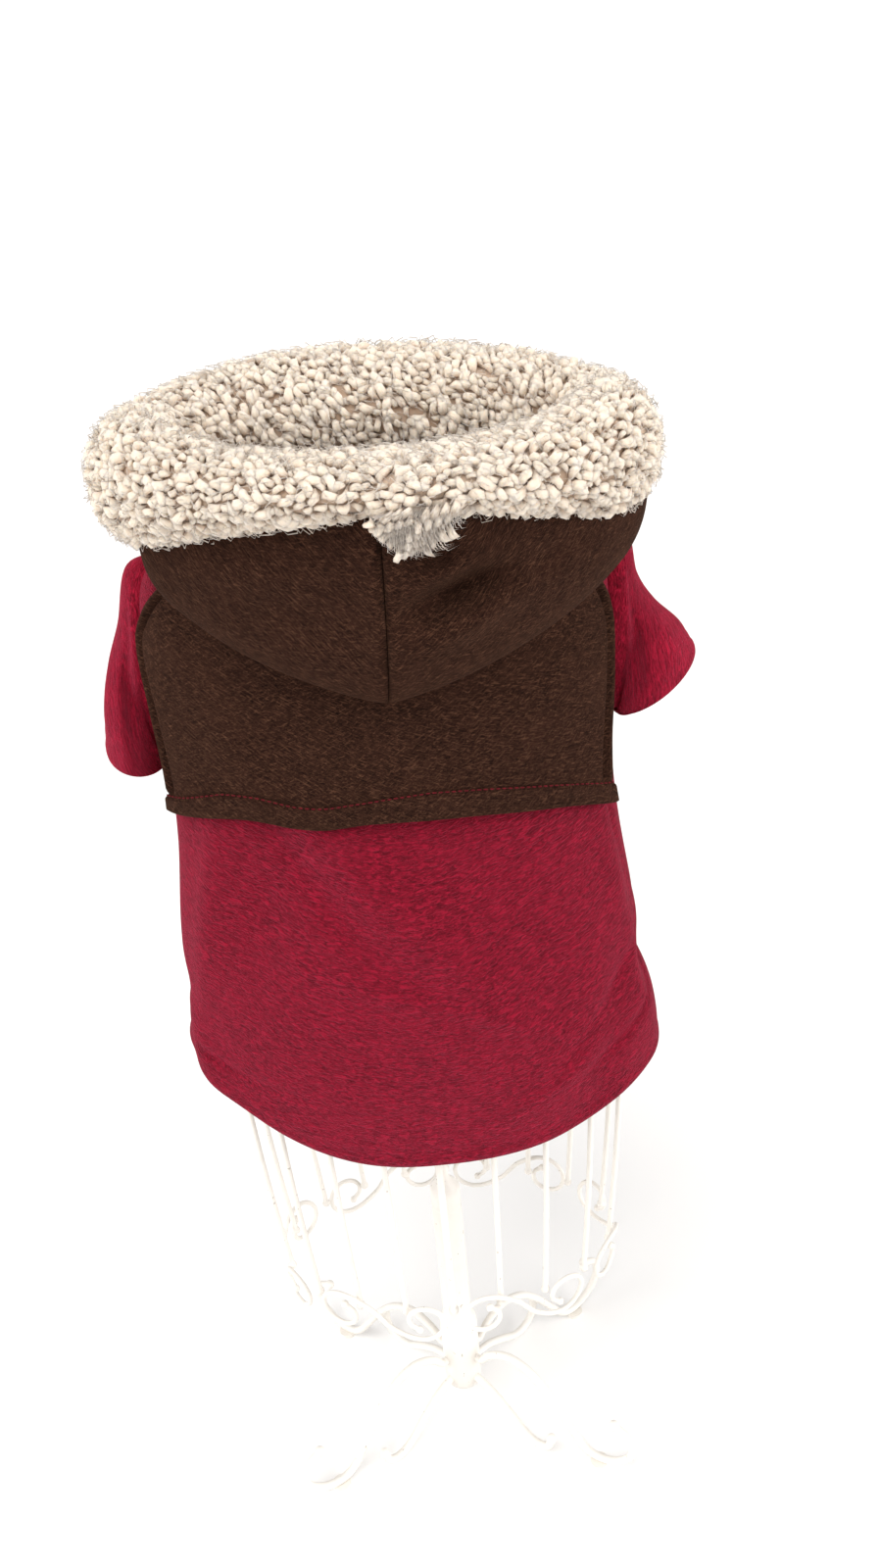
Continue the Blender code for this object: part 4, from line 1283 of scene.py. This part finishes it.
def locks_tree():
    """Locks of pile over a roll: spread evenly, laid along its flow, turned and sized at random."""
    nodes, given, result = new_tree("pile_locks", (
        ("Lock", "Object"), ("Spacing", "Float"), ("Density", "Float"), ("Smallest", "Float"),
        ("Largest", "Float"), ("Ruffle", "Float"), ("Seed", "Int"), ("Keep Roll", "Bool"),
        ("Material", "Material"),
    ))
    grow = nodes.term("GeometryNodeInputNamedAttribute", {"data_type": "BOOLEAN"}, {"Name": "grow"})
    spread = nodes.node("GeometryNodeDistributePointsOnFaces", {"distribute_method": "POISSON"}, {
        "Mesh": given.outputs["Geometry"], "Selection": grow, "Distance Min": given.outputs["Spacing"],
        "Density Max": given.outputs["Density"], "Seed": given.outputs["Seed"],
    })
    flow = nodes.term("GeometryNodeInputNamedAttribute", {"data_type": "FLOAT_VECTOR"}, {"Name": "flow"})
    upright = nodes.term("FunctionNodeAlignRotationToVector", {"axis": "Z"}, {
        "Rotation": spread.outputs["Rotation"], "Vector": spread.outputs["Normal"],
    })
    laid = nodes.term("FunctionNodeAlignRotationToVector", {"axis": "X", "pivot_axis": "Z"}, {
        "Rotation": upright, "Vector": flow,
    })
    sway = nodes.term("FunctionNodeRandomValue", {"data_type": "FLOAT_VECTOR"}, {
        0: tuple(-angle for angle in LOCK_SWAY), 1: LOCK_SWAY, "Seed": given.outputs["Seed"],
    })
    turned = nodes.term("FunctionNodeRotateRotation", {"rotation_space": "LOCAL"}, {
        "Rotation": laid, "Rotate By": nodes.term("FunctionNodeEulerToRotation", {}, {"Euler": sway}),
    })
    size = nodes.term("FunctionNodeRandomValue", {"data_type": "FLOAT"}, {
        2: given.outputs["Smallest"], 3: given.outputs["Largest"], "Seed": given.outputs["Seed"],
    }, output=1)
    lock = nodes.node("GeometryNodeObjectInfo", {"transform_space": "ORIGINAL"}, {
        "Object": given.outputs["Lock"],
    })
    placed = nodes.term("GeometryNodeInstanceOnPoints", {}, {
        "Points": spread.outputs["Points"], "Instance": lock.outputs["Geometry"],
        "Rotation": turned, "Scale": size,
    })
    joined = nodes.node("GeometryNodeJoinGeometry")
    realized = nodes.term("GeometryNodeRealizeInstances", {}, {"Geometry": placed})
    wander = nodes.term("ShaderNodeTexNoise", {}, {"Scale": RUFFLE_SCALE, "Detail": 1.0}, output=1)
    centred = nodes.term("ShaderNodeVectorMath", {"operation": "SUBTRACT"}, {0: wander, 1: (0.5, 0.5, 0.5)})
    ruffled = nodes.node("ShaderNodeVectorMath", {"operation": "SCALE"}, {0: centred})
    nodes.feed(ruffled.inputs["Scale"], given.outputs["Ruffle"])
    moved = nodes.term("GeometryNodeSetPosition", {}, {"Geometry": realized, "Offset": ruffled.outputs[0]})
    roll = nodes.term("GeometryNodeSwitch", {"input_type": "GEOMETRY"}, {
        "Switch": given.outputs["Keep Roll"], "True": given.outputs["Geometry"],
    })
    nodes.feed(joined.inputs[0], roll)
    nodes.feed(joined.inputs[0], moved)
    real = nodes.term("GeometryNodeRealizeInstances", {}, {"Geometry": joined.outputs[0]})
    painted = nodes.term("GeometryNodeSetMaterial", {}, {
        "Geometry": real, "Material": given.outputs["Material"],
    })
    nodes.feed(result.inputs[0], painted)
    return nodes.tree


def stitches_tree():
    """A row of stitches along a line of edges."""
    nodes, given, result = new_tree("topstitching", (
        ("Pitch", "Float"), ("Length", "Float"), ("Radius", "Float"), ("Material", "Material"),
    ))
    line = nodes.term("GeometryNodeMeshToCurve", {}, {"Mesh": given.outputs["Geometry"]})
    marks = nodes.node("GeometryNodeCurveToPoints", {"mode": "LENGTH"}, {
        "Curve": line, "Length": given.outputs["Pitch"],
    })
    grain = nodes.term("GeometryNodeMeshUVSphere", {}, {
        "Segments": 8, "Rings": 6, "Radius": given.outputs["Radius"],
    })
    half = Term(nodes, given.outputs["Length"]) * 0.5
    longer = half.sum("DIVIDE", half, given.outputs["Radius"])
    scale = nodes.term("ShaderNodeCombineXYZ", {}, {"X": 1.0, "Y": 1.0, "Z": longer})
    placed = nodes.term("GeometryNodeInstanceOnPoints", {}, {
        "Points": marks.outputs["Points"], "Instance": grain,
        "Rotation": marks.outputs["Rotation"], "Scale": scale,
    })
    real = nodes.term("GeometryNodeRealizeInstances", {}, {"Geometry": placed})
    painted = nodes.term("GeometryNodeSetMaterial", {}, {
        "Geometry": real, "Material": given.outputs["Material"],
    })
    nodes.feed(result.inputs[0], painted)
    return nodes.tree


class Tubes:
    """Round wires gathered into one mesh."""

    def __init__(self, sides):
        self.sides = sides
        self.points = []
        self.faces = []

    def add(self, path, radii):
        """A closed tube along a path, with one radius for each of its points."""
        path = np.asarray(path, float)
        ways = unit(np.gradient(path, axis=0))
        side = np.cross(ways[0], (0.0, 0.0, 1.0))
        if np.linalg.norm(side) < 0.1:
            side = np.cross(ways[0], (0.0, 1.0, 0.0))
        around = np.linspace(0, 2 * math.pi, self.sides, endpoint=False)
        rings = []
        for point, way, radius in zip(path, ways, radii):
            side = unit(side - way * np.dot(side, way))
            other = np.cross(way, side)
            rings.append(point + radius * (np.outer(np.cos(around), side) + np.outer(np.sin(around), other)))
        start = sum(len(part) for part in self.points)
        rings = np.array(rings)
        self.faces += [tuple(start + index for index in face) for face in closed_rings(rings)]
        self.points.append(rings.reshape(-1, 3))

    def add_wire(self, path, radius, ball_start=0.0, ball_end=0.0):
        """A wire with round ends, or with a ball of some radius on an end."""
        path = np.asarray(path, float)
        pieces = [path]
        radii = [np.full(len(path), radius)]
        for ball, at_start in ((ball_start, True), (ball_end, False)):
            wide = max(ball, radius)
            first = math.asin(min(1.0, radius / wide))
            swing = np.linspace(first, END_STOP, BALL_END_RINGS if ball else ROUND_END_RINGS)
            tip, before = (path[0], path[1]) if at_start else (path[-1], path[-2])
            way = unit(tip - before)
            run = wide * (math.cos(first) if ball else 0.0) - wide * np.cos(swing)
            extra = tip + run[1:, None] * way
            size = wide * np.sin(swing[1:])
            if at_start:
                pieces.insert(0, extra[::-1])
                radii.insert(0, size[::-1])
            else:
                pieces.append(extra)
                radii.append(size)
        self.add(np.concatenate(pieces), np.concatenate(radii))

    def piece(self, name, material):
        return new_piece(name, np.concatenate(self.points), self.faces, material)


def cage_points(turn, z, lift=0.0):
    half_width, depth = smooth_columns(CAGE, np.asarray(z, float))
    x = (half_width + lift) * np.sin(turn)
    y = -(depth + lift) * np.cos(turn)
    return np.stack([x, y, z + 0 * x], axis=-1) + POLE_PLACE


def even_turns(shares):
    """Turns at shares of the way round the cage's oval, measured along the wire."""
    half_width, depth = (float(value) for value in smooth_columns(CAGE, np.array(SKIRT_ROWS[2])))
    steps = 720
    middle = 2 * math.pi * (np.arange(steps) + 0.5) / steps
    lengths = np.concatenate([[0], np.cumsum(np.hypot(half_width * np.cos(middle), depth * np.sin(middle)))])
    return np.interp(np.asarray(shares) % 1.0, lengths / lengths[-1], np.linspace(0, 2 * math.pi, steps + 1))


def scroll_line():
    """An S-scroll from curl to curl, as along and up."""
    half = list(SCROLL_WAIST)
    for step in range(SCROLL_CURL_STEPS + 1):
        share = step / SCROLL_CURL_STEPS
        angle = math.radians(mix(SCROLL_CURL_START_DEG, SCROLL_CURL_STOP_DEG, share))
        radius = mix(SCROLL_CURL, SCROLL_CURL_END, share)
        half.append((SCROLL_CURL_OFFSET + radius * math.cos(angle), radius * math.sin(angle)))
    whole = [(-along, -up) for along, up in reversed(half[1:])] + half
    return smooth_path(np.array(whole), SCROLL_POINTS)


def leg_path(degrees, table):
    turn = math.radians(degrees)
    fine = smooth_path(np.array(table), LEG_POINTS_PER_ROW * (len(table) - 1))
    x = fine[:, 0] * math.sin(turn)
    y = -fine[:, 0] * math.cos(turn)
    return np.stack([x, y, fine[:, 1]], axis=-1) + POLE_PLACE


def nodes_named(start):
    return sorted(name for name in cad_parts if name.startswith(start))


def fleece():
    return made_material("crimson_fleece_look", fleece_material, bpy.context.scene.top_cloth.fleece_colour[:])


def painted_light_sleeve_fleece():
    """The sleeves' fleece, a paler copy of the body's: painted light standing in for the brighter light that
    falls on the sleeves.
    """
    cloth = bpy.context.scene.top_cloth
    colour = tint(cloth.fleece_colour[:], cloth.sleeve_painted_light)
    return made_material("crimson_sleeve_look", fleece_material, colour)


def felt():
    return made_material("brown_felt_look", felt_material, bpy.context.scene.top_cloth.felt_colour[:])


def paint():
    return made_material("white_paint_look", paint_material, bpy.context.scene.top_form.paint_colour[:])


class MakePanels(bpy.types.Operator):
    """Back and front of the body, as fleece walls with their folds and turned hems"""

    bl_idname = "pettop.make_panels"
    bl_label = "Make body panels"

    def execute(self, context):
        cloth = context.scene.top_cloth
        seam_turn = SEAM_OPENING / 2 / BODY[-1][4]
        for cut, hem in zip(PANEL_CUTS, (back_hem, front_hem)):
            node, middle_turn, half_turn, columns, lower_rows = cut
            outer = panel_grid(middle_turn, half_turn - seam_turn, hem, columns, lower_rows)
            piece = cloth_shell(node + "_cloth", outer, cloth.fleece_wall, fleece(), rims=PANEL_RIMS)
            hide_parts(node)
            declare_sheet(piece, outer)
        return {"FINISHED"}


class MakeSleeves(bpy.types.Operator):
    """Both short sleeves, as creased fleece tubes with turned cuffs"""

    bl_idname = "pettop.make_sleeves"
    bl_label = "Make sleeves"

    def execute(self, context):
        cloth = context.scene.top_cloth
        for node, side, table in (("sleeve_left", -1, SLEEVE_LEFT), ("sleeve_right", 1, SLEEVE_RIGHT)):
            outer = sleeve_grid(side, table, SLEEVE_ROWS, SLEEVE_SIDES)
            # The sleeves get the paler copy of the fleece: painted light
            look = painted_light_sleeve_fleece()
            piece = cloth_shell(node + "_cloth", outer, cloth.fleece_wall, look, True, SLEEVE_RIMS)
            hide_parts(node)
            declare_sheet(piece, outer, closed=True)
        return {"FINISHED"}


class MakeYoke(bpy.types.Operator):
    """The felt yoke with its turned up wavy hem, piped sides and a row of stitches"""

    bl_idname = "pettop.make_yoke"
    bl_label = "Make yoke"

    def execute(self, context):
        cloth = context.scene.top_cloth
        wall = cloth.felt_wall
        across = np.linspace(-1, 1, YOKE_COLUMNS + 1)
        upper = np.linspace(YOKE_TOP, YOKE_STRAIGHT_ROW, YOKE_UPPER_ROWS)[:-1, None] + 0 * across[None]
        down = np.linspace(0, 1, YOKE_LOWER_ROWS)[:, None]
        lower = mix(YOKE_STRAIGHT_ROW, yoke_hem(across)[None], down)
        z = np.concatenate([upper, lower])
        outer = yoke_outside(across[None] + 0 * z, z, wall)
        piece = cloth_shell("yoke_felt", outer, wall, felt(), rims=YOKE_RIMS)
        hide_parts("yoke")
        sewn = np.linspace(-STITCHED_SHARE, STITCHED_SHARE, STITCH_LINE_POINTS)
        line = yoke_outside(sewn, yoke_hem(sewn) + yoke_band(sewn), wall, STITCH_STAND)
        mesh = bpy.data.meshes.new("yoke_stitches")
        mesh.from_pydata(line.tolist(), [(index, index + 1) for index in range(len(line) - 1)], [])
        stitches = new_object("yoke_stitches", mesh)
        thread = made_material("topstitch_thread", thread_material, cloth.thread_colour[:])
        run_tree(stitches, stitches_tree(), {
            "Pitch": cloth.stitch_pitch, "Length": cloth.stitch_length,
            "Radius": cloth.stitch_radius, "Material": thread,
        })
        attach(stitches, "root")
        declare_sheet(piece, outer)
        return {"FINISHED"}


class MakeHood(bpy.types.Operator):
    """Both halves of the folded hood, with the centre seam, its round lower fold and soft creases"""

    bl_idname = "pettop.make_hood"
    bl_label = "Make hood"

    def execute(self, context):
        cloth = context.scene.top_cloth
        for node, half in zip(("hood_left", "hood_right"), HOOD_HALVES):
            outer = hood_grid(half, cloth.felt_wall, HOOD_COLUMNS, HOOD_INNER_ROWS, HOOD_OUTER_ROWS)
            piece = cloth_shell(node + "_felt", outer, cloth.hood_wall, felt(), rims=HOOD_RIMS)
            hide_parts(node)
            declare_sheet(piece, outer)
        return {"FINISHED"}


class MakePile(bpy.types.Operator):
    """The curly pile roll round the hood's mouth, as a cloth roll covered with locks"""

    bl_idname = "pettop.make_pile"
    bl_label = "Make pile roll"

    def execute(self, context):
        pile = context.scene.top_pile
        look = made_material("cream_pile_look", pile_material, pile.colour[:], pile.painted_shade_colour[:])
        lock = lock_piece("pile_lock", look, *LOCK)
        fibre = lock_piece("pile_fibre", look, *FIBRE)
        tree = locks_tree()
        for node, side in (("fur_left", -1), ("fur_right", 1)):
            angles = np.linspace(0, math.pi, PILE_RINGS)
            rings = pile_rings(side, angles, PILE_SIDES, pile.depth)
            faces = closed_rings(rings)
            corners = np.zeros((sum(len(face) for face in faces), 2))
            piece = new_piece(node + "_pile", rings.reshape(-1, 3), faces, look, corners)
            flow = np.gradient(rings, axis=0)
            flow[..., 2] += side * PILE_SLANT * np.linalg.norm(flow, axis=-1)
            add_attribute(piece.data, "flow", "FLOAT_VECTOR", "POINT", unit(flow))
            # The core's rise of 0 paints it in the shade colour: painted shade under the locks
            add_attribute(piece.data, "rise", "FLOAT", "POINT", np.zeros(rings.shape[0] * rings.shape[1]))
            grow = np.ones(len(faces), bool)
            grow[-2:] = False
            add_attribute(piece.data, "grow", "BOOLEAN", "FACE", grow)
            fuzz = new_object(node + "_fuzz", piece.data.copy())
            values = {
                "Lock": lock, "Spacing": pile.spacing, "Density": LOCKS_PER_AREA, "Smallest": pile.smallest,
                "Largest": pile.largest, "Ruffle": pile.ruffle, "Seed": pile.seed + side, "Keep Roll": True,
                "Material": look,
            }
            run_tree(piece, tree, values)
            fibres = {"Lock": fibre, "Spacing": pile.fuzz_spacing, "Seed": pile.seed + 5, "Keep Roll": False}
            run_tree(fuzz, tree, {**values, **fibres})
            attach(fuzz, "root")
            piece.data.shade_smooth()
            fuzz.data.shade_smooth()
            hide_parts(node)
            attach(piece, "root")
        self.hang_locks(lock, fibre, look)
        bpy.data.objects.remove(lock, do_unlink=True)
        bpy.data.objects.remove(fibre, do_unlink=True)
        return {"FINISHED"}

    def hang_locks(self, lock, fibre, look):
        """A tuft over the hood's top edge: one lock in every few strands, and loose fibres between them."""
        shape = bmesh.new()
        for row, (x_low, x_high, y, z, count, length) in enumerate(TUFT):
            for index in range(count * TUFT_FIBRES):
                kind = fibre if index % TUFT_FIBRES else lock
                share = (index + 0.5) / (count * TUFT_FIBRES)
                first = ((index + 3 * row) * GOLDEN) % 1 - 0.5
                second = ((index + 5 * row) * GOLDEN ** 2 + 0.3) % 1 - 0.5
                lean = TUFT_LEAN * (TUFT_LEAN_START - TUFT_LEAN_FALL * share + TUFT_LEAN_RANDOM * first)
                spin = Matrix.Rotation(math.pi / 2 + TUFT_SPIN_RANDOM * second, 4, "X")
                turn = Matrix.Rotation(lean + math.pi / 2, 4, "Y") @ spin
                longer = length * (1 + TUFT_LENGTH_RANDOM * second)
                size = Matrix.Diagonal((longer, TUFT_THICKNESS, TUFT_THICKNESS, 1.0))
                wander = TUFT_WANDER * Vector((2 * second, first, 3 * first))
                start = Vector((mix(x_low, x_high, share), y, z)) + wander + Vector(POLE_PLACE)
                added = bmesh.new()
                added.from_mesh(kind.data)
                bmesh.ops.transform(added, matrix=Matrix.Translation(start) @ turn @ size, verts=added.verts)
                mesh = bpy.data.meshes.new("hanging")
                added.to_mesh(mesh)
                added.free()
                shape.from_mesh(mesh)
                bpy.data.meshes.remove(mesh)
        mesh = bpy.data.meshes.new("hanging_locks")
        shape.to_mesh(mesh)
        shape.free()
        mesh.materials.append(look)
        mesh.shade_smooth()
        piece = new_object("hanging_locks", mesh)
        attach(piece, "root")


class MakeWires(bpy.types.Operator):
    """The form's skirt wires with ball ends, its scroll garland and its scrolled feet"""

    bl_idname = "pettop.make_wires"
    bl_label = "Make wire form"

    def execute(self, context):
        ball = context.scene.top_form.ball
        cage = Tubes(WIRE_SIDES)
        for index in range(SKIRT_RIB_COUNT):
            radius = CENTRE_RIB_RADIUS if index == 0 else RIB_RADIUS
            turn = even_turns(index / SKIRT_RIB_COUNT)
            rows = np.linspace(SKIRT_ROWS[0], SKIRT_ROWS[-1] + RIB_BALL_LIFT, RIB_POINTS)
            cage.add_wire(cage_points(turn, rows), radius, 0.0, radius * ball)
        self.finish(cage.piece("form_cage", paint()), nodes_named("skirt_rib_"))

        garland = Tubes(WIRE_SIDES)
        flat = scroll_line()
        half_width, depth = (float(value) for value in smooth_columns(CAGE, np.array(SKIRT_ROWS[3])))
        girth = math.pi * (
            3 * (half_width + depth) - math.sqrt((3 * half_width + depth) * (half_width + 3 * depth))
        )
        lift = RIB_RADIUS + SCROLL_RADIUS + WIRE_GAP + (CENTRE_RIB_RADIUS - RIB_RADIUS)
        for index in range(SCROLL_COUNT):
            turns = even_turns((index + 0.5) / SCROLL_COUNT + flat[:, 0] / girth)
            path = cage_points(turns, SCROLL_MIDDLE_Z + flat[:, 1], lift)
            garland.add_wire(path, SCROLL_RADIUS, SCROLL_RADIUS * ball, SCROLL_RADIUS * ball)
        self.finish(garland.piece("form_garland", paint()), nodes_named("scroll_"))

        feet = Tubes(FOOT_SIDES)
        for turns, table in ((FOOT_TURNS, LEG_ARCH), (BRACE_TURNS, LEG_BRACE)):
            for degrees in turns:
                feet.add_wire(leg_path(degrees, table), LEG_RADIUS, 0.0, LEG_RADIUS * FOOT_BALL)
        self.finish(feet.piece("form_feet", paint()), nodes_named("leg_"))

        for name in nodes_named("bodice_rib_") + nodes_named("foot_pad_") + ["hoop_hip"]:
            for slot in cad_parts[name].material_slots:
                slot.material = paint()
        return {"FINISHED"}

    def finish(self, piece, nodes):
        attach(piece, "root")
        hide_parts(*nodes)


class MakePole(bpy.types.Operator):
    """The form's turned pole with its neck plate, tube, collar and hub"""

    bl_idname = "pettop.make_pole"
    bl_label = "Make pole"

    def execute(self, context):
        profile = np.array(POLE)[1:-1]
        around = np.linspace(0, 2 * math.pi, POLE_SIDES, endpoint=False)
        rings = np.stack([
            profile[:, :1] * np.cos(around)[None],
            profile[:, :1] * np.sin(around)[None],
            profile[:, 1:] + 0 * around[None],
        ], axis=-1) + POLE_PLACE
        piece = new_piece("form_pole_turned", rings.reshape(-1, 3), closed_rings(rings), paint())
        piece.data.set_sharp_from_angle(angle=POLE_SHARP_EDGE)
        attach(piece, "root")
        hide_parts("form_pole")
        return {"FINISHED"}


class MakeStage(bpy.types.Operator):
    """Plain pale floor, soft studio light and the photograph's camera"""

    bl_idname = "pettop.make_stage"
    bl_label = "Make stage"

    def execute(self, context):
        stage = context.scene.top_stage
        reach = stage.reach
        corners = [(-reach, -reach, 0), (reach, -reach, 0), (reach, reach, 0), (-reach, reach, 0)]
        look = floor_material("pale_floor", stage.floor_colour[:])
        floor = new_piece("floor", corners, [(0, 1, 2, 3)], look, tidy=False)
        world = bpy.data.worlds.new("even_light")
        world.use_nodes = True
        nodes = Nodes(world.node_tree)
        sky = world.node_tree.nodes["Background"]
        seen = nodes.term("ShaderNodeLightPath", output=0)
        sky.inputs["Color"].default_value = (1.0, 0.985, 0.965, 1)
        nodes.feed(sky.inputs["Strength"], seen * (stage.backdrop - stage.sky) + stage.sky)
        context.scene.world = world
        self.add_lights(stage)
        self.add_camera(context)
        context.scene.view_settings.view_transform = "Standard"
        return {"FINISHED"}

    def add_lights(self, stage):
        """Broad even lights: one from high in front and one from each side."""
        for x, y, z, share in LIGHTS:
            lamp = bpy.data.lights.new("soft_light", "SUN")
            lamp.energy = stage.key * share
            lamp.angle = stage.key_spread
            item = new_object("soft_light", lamp)
            item.rotation_euler = (-Vector((x, y, z))).to_track_quat("-Z", "Y").to_euler()

    def add_camera(self, context):
        lens = bpy.data.cameras.new("photo_camera")
        lens.sensor_fit = "VERTICAL"
        lens.sensor_height = SENSOR_HEIGHT
        lens.lens = SENSOR_HEIGHT * FOCAL_PIXELS / FRAME_HEIGHT
        lens.clip_start = 0.01
        camera = new_object("photo_camera", lens)
        forward = Vector((0, math.cos(CAMERA_PITCH), -math.sin(CAMERA_PITCH)))
        level = Vector((1, 0, 0))
        down = Vector((0, -math.sin(CAMERA_PITCH), -math.cos(CAMERA_PITCH)))
        right = math.cos(CAMERA_ROLL) * level + math.sin(CAMERA_ROLL) * down
        up = math.sin(CAMERA_ROLL) * level - math.cos(CAMERA_ROLL) * down
        turned = Matrix((right, up, -forward)).transposed().to_4x4()
        camera.matrix_world = Matrix.Translation(Vector(CAMERA_PLACE + POLE_PLACE)) @ turned
        context.scene.camera = camera


OPERATORS = (MakeStage, MakePole, MakeWires, MakePanels, MakeSleeves, MakeYoke, MakeHood, MakePile)
SETTINGS = (
    ("top_cloth", ClothSettings), ("top_pile", PileSettings),
    ("top_form", FormSettings), ("top_stage", StageSettings),
)


class TopPanel(bpy.types.Panel):
    """Lists the pieces and their settings"""

    bl_idname = "PETTOP_PT_pieces"
    bl_label = "Pet top"
    bl_space_type = "VIEW_3D"
    bl_region_type = "UI"
    bl_category = "Pet top"

    def draw(self, context):
        for operator in OPERATORS:
            self.layout.operator(operator.bl_idname)
        for name, kind in SETTINGS:
            box = self.layout.box()
            for field in kind.__annotations__:
                box.prop(getattr(context.scene, name), field)


def register():
    for name, kind in SETTINGS:
        bpy.utils.register_class(kind)
        setattr(bpy.types.Scene, name, PointerProperty(type=kind))
    for kind in OPERATORS + (TopPanel,):
        bpy.utils.register_class(kind)


def unregister():
    for kind in reversed(OPERATORS + (TopPanel,)):
        bpy.utils.unregister_class(kind)
    for name, kind in reversed(SETTINGS):
        delattr(bpy.types.Scene, name)
        bpy.utils.unregister_class(kind)


def main():
    register()
    bpy.ops.pettop.make_stage()
    bpy.ops.pettop.make_pole()
    bpy.ops.pettop.make_wires()
    bpy.ops.pettop.make_panels()
    bpy.ops.pettop.make_sleeves()
    bpy.ops.pettop.make_yoke()
    bpy.ops.pettop.make_hood()
    bpy.ops.pettop.make_pile()


if __name__ == "__main__":
    main()
